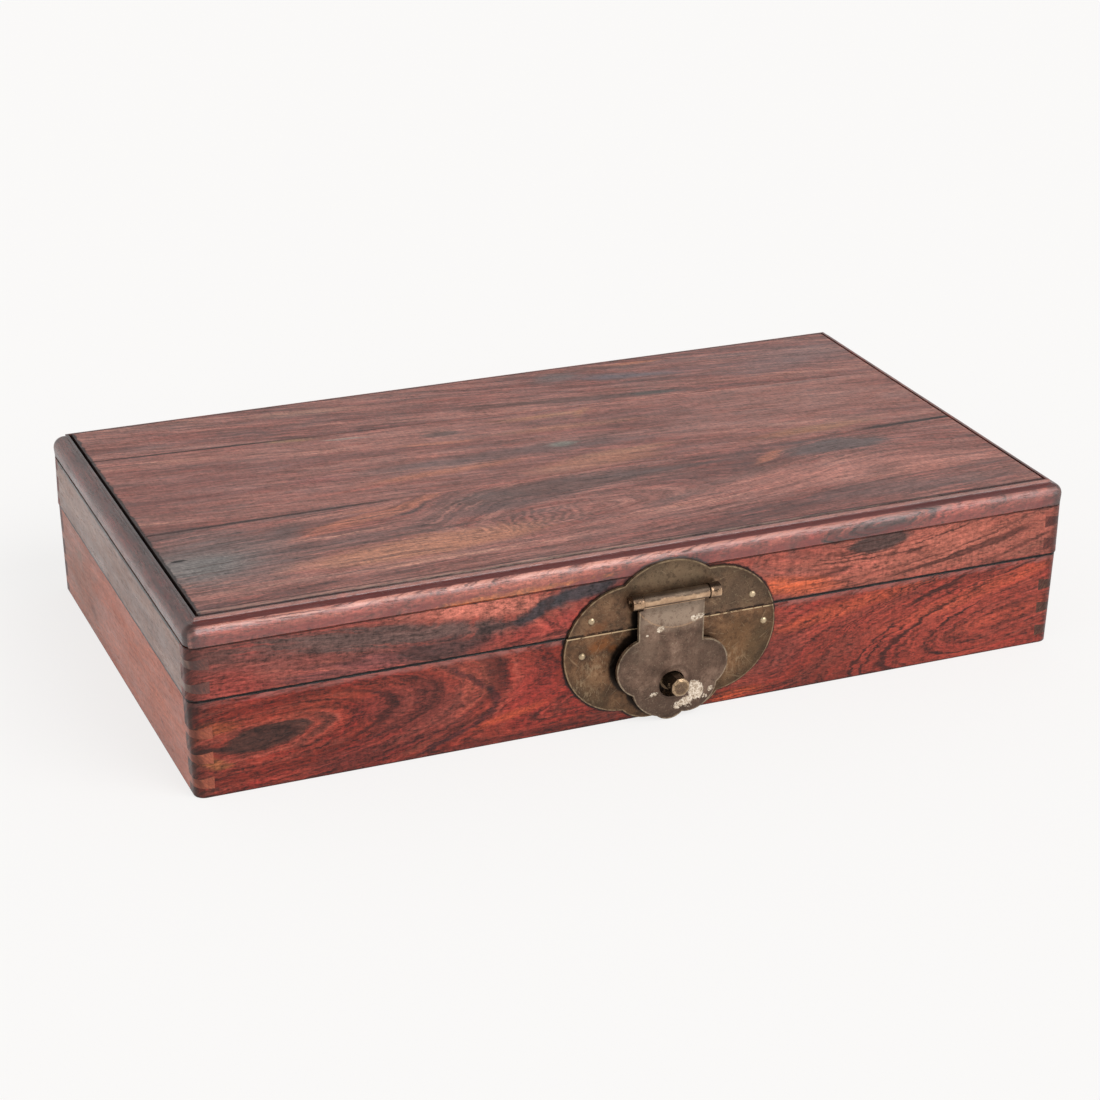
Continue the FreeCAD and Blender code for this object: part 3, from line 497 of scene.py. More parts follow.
lidLeftWood = {
    "face": "end", "seed": 4, "wander": 2.0, "broad": 0.5, "bands": 0.4, "fibres": 0.8, "mottle": 1.4,
    "pores": 0.1, "silk": 0.8, "tint": 0.0, "rough": 0.34, "specular": 0.6, "lines": 0.12,
    "ramp": [(0.30, "5c4138"), (0.45, "7a574a"), (0.55, "876252"), (0.70, "9b7462")],
    "endGrain": [(0.36, "36140f"), (0.50, "56241d"), (0.64, "71392b")], "endAxis": 1, "endShare": 0.88,
    # painted shade in the seam under the rim, and in the gap where lid and base meet
    "strips": [("z", 65.5, 67.2, 0.25, "0d0504", 1.0, 2.0), ("z", 43.0, 44.6, 0.12, splitShade, 1.0, 0.8)],
}
lidRightWood = {**lidLeftWood, **hiddenSide, "seed": 14, "specular": 0.4}
rimLeftWood = {
    "face": "end", "seed": 5, "wander": 2.0, "broad": 0.6, "bands": 0.6, "fibres": 1.8, "mottle": 2.4,
    "pores": 0.3, "tint": 0.3, "cornerGrime": 0.8, "rough": 0.28, "specular": 0.8, "lines": 0.3,
    "waves": 0.0005,
    "ramp": [(0.30, "33150f"), (0.45, "4c221b"), (0.55, "5e2e25"), (0.70, "7b4236")],
    # painted shade in the seam under the rim, then painted shade and grime in the groove by the top boards
    "strips": [("z", 66.2, 68.0, 0.2, "0d0504", 1.0, 1.5), ("inset", 5.7, 6.1, 0.12, "2c1510", 0.5, 0.6),
               ("inset", 6.3, 9.0, 0.1, "1d0e0b", 0.7, 0.0),
               ("inset", 5.2, 9.0, 0.4, "1d0e0b", 0.85, 2.0)],
}
# the right rim keeps only the painted shade in the seam under it
rimRightWood = {**rimLeftWood, "seed": 16, "strips": rimLeftWood["strips"][:1]}
topWood = {  # what the three top boards share
    "face": "top", "wander": 4.0, "pores": 0.2, "ramp": topRamp, "rough": 0.5, "silk": 0.7, "fray": 1.0,
    "mottle": 2.0, "lines": 0.5, "lineCount": 9.0, "lineColour": "4a2d28", "tint": 0.4,
    "redTint": "a0584c", "brownTint": "6b453d",
}
topFrontWood = {
    **topWood, "seed": 6, "broad": 0.6, "bands": 0.6, "fibres": 2.2, "mottle": 2.4, "pores": 0.22,
    "slope": -0.05, "flowShift": 150.0, "tint": 0.45, "blend": 3.0,
    "bends": [((-45, -64), (42, 16), 11.0), ((135, -45), (62, 28), -17.0)],
    "knots": [((-32, -63), 1.3, 185, 0.25, 71.0)],
    # ripples: focus, period, centre, half sizes, colour, strength
    "ripples": [((-2, -66), 4.3, (-28, -64), (24, 11), "4a302b", 0.5)],
    "patches": [
        ((-172, -55), (34, 27), 0, "6a5955", 0.75, 0.5), ((-180, -60), (20, 12), 5, "72726f", 0.7, 0.6),
        ((-134, -38), (9, 5), 40, "4f403d", 0.6, 0.6), ((-110, -56), (40, 4), 3, "5f4541", 0.6, 0.6),
        ((-76, -29), (19, 2.8), 28, "ae6850", 0.95, 0.4),
        ((-101, -36.5), (22, 3.8), 12, "ae6850", 0.9, 0.4),
        ((-119, -44), (18, 1.8), 13, "ab6450", 0.8, 0.5), ((-98, -29), (13, 1.8), 4, "a4644f", 0.6, 0.6),
        ((-8, -34), (64, 9), 2, "5a423d", 0.8, 0.5), ((-45, -46), (36, 4.5), 3, "5c4441", 0.7, 0.5),
        ((-95, -60.5), (52, 1.5), 4, "4f3731", 0.7, 0.5), ((-84, -73), (52, 9), 3, "b0745a", 0.95, 0.35),
        ((60, -56), (46, 3), 17, "6b4c45", 0.6, 0.6), ((93, -36), (12, 3.0), 30, "a8664e", 0.85, 0.4),
        ((128, -35), (27, 7.5), -3, "594b49", 0.85, 0.35), ((130, -66), (66, 11), -3, "ae7062", 0.75, 0.6),
        ((140, -91), (50, 5), -2, "69504c", 0.6, 0.6), ((-150, -87), (46, 1.4), 0, "aa7a6c", 0.6, 0.6),
        ((-184, -51.5), (3.0, 0.9), 10, "140c0a", 0.97, 0.2)],
    # the first two strips are painted shade and grime in the grooves by the left and front rims
    "strips": [leftGroove, ("y", -104.4, -103.1, 0.2, seamDark, 0.9, 1.2),
               ("skew", -102.6, -100.5, 0.5, "a48878", 0.5, 1.5),
               ("skew", -100.1, -99.2, 0.2, "38120f", 0.8, 1.2),
               ("y", -23.0, -21.0, 0.2, seamDark, 0.9, 1.5, 146, 200, 8),
               ("y", -22.6, -21.0, 0.2, seamDark, 0.8, 1.5, -200, -80, 20)],
}
topMiddleWood = {
    **topWood, "seed": 7, "broad": 0.5, "bands": 0.5, "fibres": 1.7, "slope": 0.10, "lines": 0.4,
    "lineColour": "4c2f29",
    "patches": [
        ((-50, 0), (36, 3.2), 3, "aa684f", 0.75, 0.5), ((-100, -6), (22, 1.4), 2, "ae6050", 0.6, 0.5),
        ((30, -6.5), (23, 3.6), 2, "a9745a", 0.85, 0.6), ((16, -14), (30, 5.6), 3, "a26b54", 0.85, 0.6),
        ((128, -13), (28, 4.0), 2, "a4714f", 0.6, 0.6), ((-15, 10), (76, 6.0), 0, "624b48", 0.75, 0.6),
        ((12.5, 11.5), (7.5, 2.6), 0, "7a766d", 0.85, 0.5), ((15, 47), (19, 2.6), -3, "a3724f", 0.6, 0.6),
        ((33, 45), (6, 3), 60, "a87450", 0.5, 0.6), ((20, 31), (32, 3), -4, "a06c52", 0.5, 0.6),
        ((-42, 33), (18, 1.8), -9, "b06a50", 0.75, 0.5), ((-36, 43), (8, 3.5), 0, "544c48", 0.6, 0.5),
        ((-105, 11), (14, 4), 0, "98504a", 0.5, 0.6), ((-103, 60), (13, 1.3), -5, "a87c52", 0.7, 0.5),
        ((-78, 53), (9, 1.1), -8, "a6978a", 0.7, 0.5), ((-155, 22), (44, 17), 0, "7a4943", 0.45, 0.8),
        ((150, 44), (18, 1.2), -2, "4f3a34", 0.6, 0.5), ((130, 25), (60, 25), 0, "a07064", 0.4, 0.8)],
    "strips": [leftGroove, ("y", -22.0, -20.3, 0.2, seamDark, 0.9, 1.5, 146, 200, 8),
               ("y", -22.0, -20.6, 0.2, seamDark, 0.8, 1.5, -200, -80, 20),
               ("seam", -0.9, 0.5, 0.25, seamDark, 0.85, 1.0, -200, -90, 40),
               ("seam", -0.6, 0.5, 0.2, seamDark, 0.5, 1.0, 140, 185, 12)],
}
topBackWood = {
    **topWood, "seed": 8, "broad": 0.5, "bands": 0.65, "fibres": 2.0, "slope": 0.15,
    "redTint": "9a564a", "brownTint": "68433a",
    "patches": [
        ((40, 92), (10, 5), 0, "66605f", 0.6, 0.6), ((78, 83), (26, 3), -10, "5c5c64", 0.65, 0.6),
        ((45, 61), (54, 3.4), -8, "533832", 0.75, 0.5), ((75, 57), (11, 2.2), -8, "48423d", 0.75, 0.5),
        ((82, 98), (14, 1.7), -4, "aa684a", 0.75, 0.5), ((-85, 92), (26, 3), -6, "a07663", 0.5, 0.6),
        ((160, 78), (36, 15), 0, "745d5b", 0.6, 0.7), ((-160, 100), (30, 4), -2, "6a4a42", 0.5, 0.6)],
    # the first two strips are painted shade and grime in the grooves by the left and back rims
    "strips": [leftGroove, ("y", 103.2, 104.2, 0.2, seamDark, 0.8, 1.0),
               ("seam", -0.5, 0.7, 0.25, seamDark, 0.85, 1.0, -200, -90, 40)],
}
backWood = {**baseFrontWood, "seed": 9, "knots": [((40, 20), 5.0, 2, 0.5, 0.0)], "patches": (),
            "plateShadowAndDirt": 0.0}
lidBackWood = {**lidFrontWood, "seed": 15, "knots": [((-60, 60), 5.0, -2, 0.6, 8.0)], "patches": (),
               "bends": (), "plateShadowAndDirt": 0.0}
innerWood = {
    "face": "top", "seed": 10, "wander": 4.0, "broad": 0.6, "bands": 0.6, "fibres": 2.0, "mottle": 2.4,
    "pores": 0.3, "lines": 0.4, "tint": 0.2, "rough": 0.6, "cornerGrime": 0.3,
    "ramp": [(0.30, "4a281c"), (0.45, "6b3d2a"), (0.55, "7d4a33"), (0.70, "946042")],
}
woodLooks = {
    "rosewoodBaseFront": baseFrontWood, "rosewoodLidFront": lidFrontWood, "rosewoodRimFront": rimFrontWood,
    "rosewoodBaseLeft": baseLeftWood, "rosewoodBaseRight": baseRightWood, "rosewoodLidLeft": lidLeftWood,
    "rosewoodLidRight": lidRightWood, "rosewoodRimLeft": rimLeftWood, "rosewoodRimRight": rimRightWood,
    "rosewoodTopFront": topFrontWood, "rosewoodTopMiddle": topMiddleWood, "rosewoodTopBack": topBackWood,
    "rosewoodBaseBack": backWood, "rosewoodLidBack": lidBackWood,
    # the back rim takes the front rim's strips, painted highlight and shade included
    "rosewoodRimBack": {**lidBackWood, "specular": 0.6, "strips": rimFrontWood["strips"]},
    "innerWood": innerWood,
}
woods = {name: makeWood(name, look) for name, look in woodLooks.items()}
print("woods mixed:", len(woods))


brassHabits = {  # what a brass has, where its own look says nothing
    "patches": (), "scratches": (), "scuffs": (), "rounds": None, "neck": None, "haspShadowAndDirtRounds": None,
    "bars": (), "rings": (), "roll": None, "darkerSides": 0.0, "topDirt": 0.0, "flakes": (),
}
# darkDirtAndShade is dark dirt and also painted shade; undersideShade is painted shade under the barrel,
# eyes and pin
darkDirtAndShade, undersideShade = "1c120c", "2a1c13"
chalkRamp = [(0.36, "84705c"), (0.48, "b8a48e"), (0.60, "e2d3c0")]


def paintWear(colour, look, coords, flat, stain, speck):  # stains, specks, scratches and scuffs
    fray = stir(times(minus(speck, 0.5), 0.9), stain, 1.4)
    colour = paintPatches(colour, flat, fray, look["patches"])
    colour = paint(colour, look["stain"], ease(stain, 0.50, 0.66), look["stains"])
    colour = paint(colour, look["speck"], ease(speck, 0.60, 0.70), look["specks"])
    colour = paint(colour, "1f1610", ease(speck, 0.42, 0.33), look["specks"])
    scratchMask = 0.0
    for angle in look["scratches"]:
        turned = addNode("Mapping",
                         {"Vector": coords, "Rotation": (0, math.radians(angle), 0)}).outputs[0]
        lines = streaks(turned, (0.12, 0.3, 1.7), 1.0, 0.5)
        scratchMask = calc("MAXIMUM", ease(lines, 0.71, 0.78), scratchMask)
    if look["scratches"]:
        colour = paint(colour, look["bright"], scratchMask, 0.22)
    for centre, half, tilt in look["scuffs"]:  # rubbed spots, broken up into short strokes
        strokes = ease(streaks(coords, (0.8, 0.8, 0.35), 3.0, 0.7), 0.50, 0.58)
        colour = paint(colour, look["bright"], ease(reachFrom(flat, centre, half, tilt), 1.6, 0.4),
                       strokes, 0.3)
    return colour, scratchMask


def paintOutline(colour, look, x, z, stain):  # painted shadow and dirt round the hasp, and a painted highlight on the plate's own edge
    flat = joined(x, z)
    if look["haspShadowAndDirtRounds"]:  # painted shadow of the hasp, with dirt under it, fainter to the right
        near = stir(outlineDistance(flat, look["haspShadowAndDirtRounds"], haspNeck), stain, 2.5)
        near = timesPlus(calc("MAXIMUM", minus(x, 8.0), 0.0), 0.12, near)
        colour = paint(colour, "0d0805", ease(near, 2.4, 0.7),
                       timesPlus(ease(near, -5.0, -2.5), 0.62, 0.3))
    if look["rounds"]:  # a painted highlight along the edge all round, and dirt inside it
        edge = stir(outlineDistance(flat, look["rounds"], look["neck"]), stain, 1.0)
        colour = paint(colour, "2a2016", ease(edge, -4.5, -0.9), 0.35)
        colour = paint(colour, look["bright"], ease(edge, -0.7, -0.3), ease(stain, 0.30, 0.62),
                       ease(z, look["top"] + 1, look["top"]), look["edges"])
    for low, high, soft, code, strength in look["bars"]:  # level stripes, such as painted shade in a seam's gap or a painted highlight on the edge beside it
        colour = paint(colour, code, between(z, low, high, soft), ease(stain, 0.40, 0.50), strength)
    return colour


def paintDirtAndShade(colour, look, y, z, cloud, stain, speck):  # on the barrel, the eyes and the post
    nx, ny, nz = objectNormal()
    under = ease(nz, -0.30, -0.62)
    if look["roll"]:  # the barrel rolled out of the plate itself
        middleY, middleZ, radius = look["roll"]
        rolled = ease(apart(joined(0.0, y, z), (0, middleY, middleZ)), radius + 0.15, radius)
        colour = mixColour(rolled, colour, colourRamp(cloud, look["rollRamp"]))
        dirt = stir(stir(nz, cloud, 1.2), stain, 0.4)
        colour = paint(colour, darkDirtAndShade, rolled, ease(dirt, 0.10, 0.50), 0.88)
        # painted shade on the barrel's underside
        colour = paint(colour, undersideShade, rolled, under, 0.75)
    if look["darkerSides"]:  # darker on the sides
        colour = paint(colour, darkDirtAndShade, ease(unsigned(ny), 0.75, 0.45), look["darkerSides"])
    if look["topDirt"]:
        dirt = stir(stir(nz, stain, 1.4), speck, 0.5)
        colour = paint(colour, darkDirtAndShade, ease(dirt, 0.10, 0.50), look["topDirt"])
        # painted shade on the undersides
        colour = paint(colour, undersideShade, under, 0.75)
        colour = paint(colour, darkDirtAndShade, ease(nx, -0.6, -0.85), 0.75)  # painted shade in the open end of the rolled pin
    return colour


def makeBrass(name, look):
    look = {**brassHabits, **look}
    material, shader = newMaterial(name)
    place = objectPlace()
    x, y, z = split(place)
    flat = joined(x, z)
    coords = vectorCalc("ADD", place, (0, 0, look["seed"] * brassStep))
    cloud = streaks(coords, (0.09, 0.09, 0.09), 5.0, 0.68)
    stain = streaks(coords, (0.35, 0.35, 0.35), 4.0, 0.70)
    speck = streaks(coords, (1.3, 1.3, 1.3), 3.0, 0.75)
    colour = colourRamp(cloud, look["ramp"])
    colour, scratchMask = paintWear(colour, look, coords, flat, stain, speck)
    colour = paintOutline(colour, look, x, z, stain)
    for centre, radius, width, code, strength in look["rings"]:  # round stains, scribed arcs, painted shade round the post and a painted highlight on the post's rim
        offRing = unsigned(minus(apart(flat, (*centre, 0)), radius))
        colour = paint(colour, code, ease(offRing, width * 1.3, width * 0.7), ease(speck, 0.38, 0.50),
                       strength)
    colour = paintDirtAndShade(colour, look, y, z, cloud, stain, speck)
    flakes = 0.0  # flakes of old chalky paint
    flakeNoise = streaks(coords, (0.95, 0.95, 0.8), 5.0, 0.85)
    for centre, half, tilt, cover in look["flakes"]:
        mask = ease(reachFrom(flat, centre, half, tilt), 1.5, 0.5)
        mask = timesPlus(mask, cover, minus(flakeNoise, 1.0))
        flakes = calc("MAXIMUM", ease(mask, 0.0, 0.06), flakes)
    shader.inputs["Metallic"].default_value = look["metal"]
    if look["flakes"]:
        colour = mixColour(flakes, colour, colourRamp(speck, chalkRamp))
        connect(times(minus(1.0, flakes), look["metal"]), shader.inputs["Metallic"])
    hollow = streaks(coords, (0.12, 0.12, 0.12), 2.0, 0.5)
    height = timesPlus(flakes, 3.0, minus(times(speck, 0.6), scratchMask))
    finishShader(shader, colour, stir(look["rough"], stain, 0.6),
                 ((hollow, 0.0003, 1.0), (height, 0.00008, 0.6)))
    return material


lidPlateBrass = {
    "seed": 1, "ramp": [(0.30, "3a2b20"), (0.44, "5a4332"), (0.52, "6f523d"), (0.62, "8a6b50")],
    "stain": "3f3226", "stains": 0.5, "speck": "9a8c6c", "specks": 0.5, "scratches": (12, -38),
    # edges sets the strength of the painted highlight along the plate's edge
    "bright": "b89e7c", "edges": 0.5, "metal": 0.7, "rough": 0.42,
    "rounds": plateRounds, "haspShadowAndDirtRounds": haspRounds, "top": 99.0,
    "patches": [((44, 55), (16, 10), -20, "4d3d2f", 0.65, 0.6), ((7, 66), (26, 7), 0, "75614b", 0.8, 0.6),
                ((36, 50), (16, 8), 0, "6a5543", 0.5, 0.7), ((-27, 50), (12, 9), 30, "7c5b42", 0.4, 0.7),
                ((-26, 46), (5, 2), 20, "7a4a2c", 0.5, 0.6)],
    # bars: from, to, softness, colour, strength
    # painted shade in the gap between the lid plate and the base plate
    "bars": [(43.0, 44.5, 0.35, "120b07", 0.85)],
}
basePlateBrass = {
    **lidPlateBrass, "seed": 2, "stain": "412c1c", "scratches": (35, 62, -20, -50),
    "ramp": [(0.30, "3e2b1e"), (0.44, "5d4431"), (0.52, "72523a"), (0.62, "8a674a")],
    # scuffs: centre, half sizes, tilt
    "scuffs": [((-26, 29), (6, 5), 30), ((-34, 22), (3, 3), 0), ((-30, 16), (6, 4), -30),
               ((38, 20), (6, 6), 40)],
    "patches": [
        ((-30, 12), (14, 9), -40, "4b3c2b", 0.65, 0.6), ((40, 28), (9, 11), 0, "84603f", 0.5, 0.7),
        ((50, 24), (6, 14), -15, "53432f", 0.6, 0.6), ((-24, 38), (5, 2.5), 20, "8a5128", 0.6, 0.6),
        ((-18, 35.5), (2, 1.5), 0, "8a5128", 0.6, 0.6), ((36, 10), (10, 5), 20, "4d3d2b", 0.5, 0.6)],
    # painted highlight on the base plate's top edge, under the gap
    "bars": [(42.6, 43.1, 0.12, "d0b48e", 0.9)],
    # rings: centre, radius, width, colour, strength
    # painted shade round the post, where the hasp's hole shows the plate, with dirt
    "rings": [(postCentre, 0.0, 7.4, "060302", 1.0)],
}
goldenRamp = [(0.30, "85684f"), (0.46, "ae8d70"), (0.56, "c6a484"), (0.66, "dfc0a0")]
haspBrass = {
    "seed": 3, "ramp": [(0.30, "453429"), (0.44, "614b3e"), (0.52, "735a4b"), (0.62, "8c7160")],
    "stain": "5a4236", "stains": 0.4, "speck": "a3947c", "specks": 0.45, "scratches": (20, -15, 70),
    # edges sets the strength of the painted highlight along the hasp's edge
    "bright": "b8a58a", "edges": 0.5, "metal": 0.65, "rough": 0.38,
    "rounds": haspRounds, "neck": haspNeck, "top": 52.0,
    # roll: the barrel's middle (y, z) and radius
    "roll": (-115.25, 56.7, 3.05), "rollRamp": goldenRamp,
    # the first patch is a painted highlight where the neck faces up
    "patches": [((8, 50), (16, 6.5), 0, "a08b78", 0.85, 0.5), ((-6, 36), (6, 6), 0, "8c7462", 0.4, 0.7),
                ((24, 30), (9, 9), 0, "5b473a", 0.5, 0.7), ((7, 9), (18, 8), 0, "4c3b30", 0.65, 0.6)],
    "rings": [(postCentre, 7.2, 0.9, "2a1a12", 0.4), ((9.5, 66.0), 22.8, 0.35, "caa27c", 0.3)],
    # flakes: centre, half sizes, tilt, cover
    "flakes": [((1.2, 43.2), (2.3, 1.7), 30, 0.66), ((-4.8, 41.2), (0.8, 0.6), 0, 0.66),
               ((16.5, 45.8), (1.5, 2.0), 30, 0.66), ((19.4, 46.4), (2.8, 1.8), 20, 0.56),
               ((-1.0, 13.2), (2.6, 1.4), 20, 0.58), ((18.4, 12.0), (4.2, 5.6), 20, 0.74),
               ((14.2, 7.6), (4.0, 2.4), 10, 0.70), ((10.4, 6.2), (2.6, 2.3), 30, 0.62),
               ((25.4, 11.4), (2.0, 1.4), 40, 0.62), ((22.8, 8.2), (1.8, 1.5), 0, 0.55),
               ((15.5, 5.0), (3.0, 1.4), 0, 0.46)],
}
barrelBrass = {
    "seed": 4, "ramp": goldenRamp, "stain": "5c402c", "stains": 0.5, "speck": "dcbc98", "specks": 0.35,
    "topDirt": 0.9, "metal": 0.85, "rough": 0.30,
}
nailBrass = {
    "seed": 5, "ramp": [(0.32, "8c7c62"), (0.5, "b09a7c"), (0.68, "cdb796")], "stain": "6e5a40",
    "stains": 0.4, "speck": "e0d2b8", "specks": 0.4, "metal": 0.8, "rough": 0.35,
}
postBrass = {
    "seed": 6, "ramp": [(0.32, "5f4a36"), (0.5, "836a50"), (0.68, "a48a68")], "stain": "5a4a34",
    "stains": 0.5, "speck": "c5bb98", "specks": 0.5, "metal": 0.65, "rough": 0.42, "darkerSides": 0.85,
    # the outer ring is a painted highlight on the rim of the post's end
    "rings": [(postCentre, 0.0, 2.6, "5a4438", 0.85), (postCentre, 3.5, 0.45, "c4a684", 0.7)],
}
hingeBrass = {**lidPlateBrass, "seed": 7, "ramp": [(0.32, "4f4330"), (0.5, "66573f"), (0.68, "7d6c50")],
              "patches": (), "bars": (), "rounds": None, "haspShadowAndDirtRounds": None}
brassLooks = {
    "agedBrassLidPlate": lidPlateBrass, "agedBrassBasePlate": basePlateBrass, "agedBrassHasp": haspBrass,
    "rubbedBrassBarrel": barrelBrass, "rubbedBrassNails": nailBrass, "agedBrassPost": postBrass,
    "agedBrassHinge": hingeBrass,
}
metals = {name: makeBrass(name, look) for name, look in brassLooks.items()}
print("metals mixed:", len(metals))


def addToScene(name, data):
    thing = bpy.data.objects.new(name, data)
    bpy.context.scene.collection.objects.link(thing)
    return thing


def finishPiece(bm, name, material, nodeName, sharpAngle=60):
    mesh = bpy.data.meshes.new(name)
    bm.to_mesh(mesh)
    bm.free()
    mesh.shade_smooth()
    mesh.set_sharp_from_angle(angle=math.radians(sharpAngle))
    mesh.materials.append(material)
    piece = addToScene(name, mesh)
    piece.modifiers.new("evenNormals", "WEIGHTED_NORMAL").keep_sharp = True
    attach(piece, nodeBodies[nodeName])
    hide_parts(nodeName)


def bevelEdges(bm, edges, width):
    bmesh.ops.bevel(bm, geom=edges, offset=width * mm, offset_type="OFFSET", affect="EDGES",
                    segments=2, profile=0.5, material=-1, clamp_overlap=True)


wornEdges = {"joint": 0.35, "insideOf": (198.5, 108.8), "jointAngle": 1.2, "sharp": math.radians(35)}


def wornPiece(name, nodeName, material, width, meets=False):  # the node's own shape, merged and then worn
    bm = bmesh.new()
    bm.from_mesh(frame["nodes"][nodeName].data)
    bmesh.ops.remove_doubles(bm, verts=bm.verts, dist=1e-6)
    bmesh.ops.dissolve_limit(bm, angle_limit=math.radians(0.5), verts=bm.verts, edges=bm.edges)
    if meets:  # the long edges where base and lid meet
        limitX, limitY = (limit * mm for limit in wornEdges["insideOf"])
        edges = [edge for edge in bm.edges if edge.calc_face_angle(0) > wornEdges["jointAngle"]
                 and all(abs(vert.co.z - jointZ) < 0.02 * mm for vert in edge.verts)
                 and all(abs(vert.co.x) > limitX or abs(vert.co.y) > limitY for vert in edge.verts)]
        bevelEdges(bm, edges, wornEdges["joint"])
    if width:
        edges = [edge for edge in bm.edges if edge.calc_face_angle(0) > wornEdges["sharp"]]
        bevelEdges(bm, edges, width)
    finishPiece(bm, name, material, nodeName)


wornBy = {"side": 0.12, "top": 0.25, "bottom": 0.3, "divider": 0.5, "batten": 0.4}  # worn edges in mm
boards = {}  # piece: CAD node, wood, worn edge
for part in ("base", "lid"):
    for side in ("Front", "Back", "Left", "Right"):
        boards[part + side + "Board"] = (f"{part}_{side.lower()}", f"rosewood{part.title()}{side}",
                                         wornBy["side"])
for place in ("Front", "Middle", "Back"):
    boards["topBoard" + place] = ("lid_panel_" + place.lower(), "rosewoodTop" + place, wornBy["top"])
for place in ("Front", "Middle", "Back"):
    boards["bottomBoard" + place] = ("base_bottom_" + place.lower(), "innerWood", wornBy["bottom"])
boards["crossDivider"] = ("divider_cross", "innerWood", wornBy["divider"])
boards["longDivider"] = ("divider_long", "innerWood", wornBy["divider"])
boards["leftBatten"] = ("lid_batten_left", "innerWood", wornBy["batten"])
boards["rightBatten"] = ("lid_batten_right", "innerWood", wornBy["batten"])
for name, (nodeName, wood, width) in boards.items():
    wornPiece(name, nodeName, woods[wood], width, name.startswith(("base", "lid")))
print("boards worn:", len(boards))


rimShape = {  # insets from the lid's face, heights above the seam
    "belly": (-0.3, 4.2), "shoulder": (0.75, 7.5), "noseTop": (3.3, 9.1), "cove": (4.3, 9.25),
    "coveEnd": (5.2, 9.9), "filletTop": 10.8, "filletInner": 6.5, "filletSoft": 0.15,
    "grooveInner": 3.9, "grooveLow": 3.8, "grooveHigh": 6.8, "thickness": 9.0,
    "cornerRadius": 4.9, "steps": 64, "cornerSteps": 8,
    "wobble": 0.16, "wobbleLength": 16.0, "wobbleHeight": 9.0, "fade": 14.0,
}


def arcThrough(first, middle, last, steps):  # points on the circle through three points
    (ax, ay), (bx, by), (cx, cy) = first, middle, last
    d = 2 * (ax * (by - cy) + bx * (cy - ay) + cx * (ay - by))
    a2, b2, c2 = ax * ax + ay * ay, bx * bx + by * by, cx * cx + cy * cy
    ux = (a2 * (by - cy) + b2 * (cy - ay) + c2 * (ay - by)) / d
    uy = (a2 * (cx - bx) + b2 * (ax - cx) + c2 * (bx - ax)) / d
    radius = math.hypot(ax - ux, ay - uy)
    start = math.atan2(ay - uy, ax - ux)
    turn = math.atan2(cy - uy, cx - ux) - start
    turn = (turn + math.pi) % (2 * math.pi) - math.pi
    return [(ux + radius * math.cos(start + turn * i / steps),
             uy + radius * math.sin(start + turn * i / steps)) for i in range(steps + 1)]


def rimSection(shape, slot):
    slotDeep, slotHigh = slot  # the shadow line over the lid's side
    outer, inner, top = shape["coveEnd"][0], shape["filletInner"], shape["filletTop"]
    soft, groove, thick = shape["filletSoft"], shape["grooveInner"], shape["thickness"]
    section = [(slotDeep, 0.0), (slotDeep, slotHigh), (0.0, slotHigh)]
    section += arcThrough(shape["belly"], shape["shoulder"], shape["noseTop"], 12)
    section += arcThrough(shape["noseTop"], shape["cove"], shape["coveEnd"], 5)[1:]
    return section + [(outer, top - soft), (outer + soft, top), (inner - soft, top), (inner, top - soft),
                      (inner, shape["grooveHigh"]), (groove, shape["grooveHigh"]),
                      (groove, shape["grooveLow"]), (thick, shape["grooveLow"]), (thick, 0.0)]


def sliceThrough(bm, point, normal, clear=False):
    return bmesh.ops.bisect_plane(bm, geom=bm.verts[:] + bm.edges[:] + bm.faces[:], dist=1e-5,
                                  plane_co=point, plane_no=normal, clear_outer=clear)


def makeRim(name, nodeName, material, turn, halfLength, halfWidth, shape, slot):
    radius = shape["cornerRadius"]
    bm = bmesh.new()
    outline = [bm.verts.new((-halfLength - 1, inset - halfWidth, height))
               for inset, height in rimSection(shape, slot)]
    bm.faces.new(outline)
    made = bmesh.ops.extrude_face_region(bm, geom=bm.faces[:])["geom"]
    bmesh.ops.translate(bm, vec=(2 * halfLength + 2, 0, 0),
                        verts=[item for item in made if isinstance(item, bmesh.types.BMVert)])
    bmesh.ops.recalc_face_normals(bm, faces=bm.faces)
    for side in (-1, 1):  # mitred ends
        cut = sliceThrough(bm, (side * halfLength, -halfWidth, 0), (side, 1, 0), True)
        rim = [item for item in cut["geom_cut"] if isinstance(item, bmesh.types.BMEdge)]
        bmesh.ops.contextual_create(bm, geom=rim)
    corner = halfLength - radius
    cuts = [-corner + 2 * corner * i / shape["steps"] for i in range(shape["steps"] + 1)]
    for i in range(1, shape["cornerSteps"]):
        reach = radius * i / shape["cornerSteps"]
        cuts += [corner + reach, -corner - reach]
    for x in cuts:
        sliceThrough(bm, (x, 0, 0), (1, 0, 0))
    for vert in bm.verts:
        x, y, z = vert.co
        inset = y + halfWidth
        if abs(x) < corner and z > 0.3 and inset < shape["grooveInner"]:  # hand-planed moulding
            fade = min(1, (corner - abs(x)) / shape["fade"])
            spot = (x / shape["wobbleLength"], z / shape["wobbleHeight"], halfLength)
            vert.co.y += shape["wobble"] * fade * (noise.noise(spot) * 0.5 + 0.5)
        bend = radius - inset  # what is left of the corner's radius here
        if bend > 0 and abs(x) > corner:
            side = 1 if x > 0 else -1
            swing = math.radians(45) * min(1, (abs(x) - corner) / bend)
            vert.co.x = side * (corner + bend * math.sin(swing))
            vert.co.y = -halfWidth + radius - bend * math.cos(swing)
    bmesh.ops.remove_doubles(bm, verts=bm.verts, dist=1e-4)
    bmesh.ops.scale(bm, vec=(mm, mm, mm), verts=bm.verts)
    bmesh.ops.translate(bm, vec=(0, 0, seamZ), verts=bm.verts)
    bmesh.ops.rotate(bm, matrix=Matrix.Rotation(math.radians(turn), 3, "Z"), verts=bm.verts)
    finishPiece(bm, name, material, nodeName, 50)


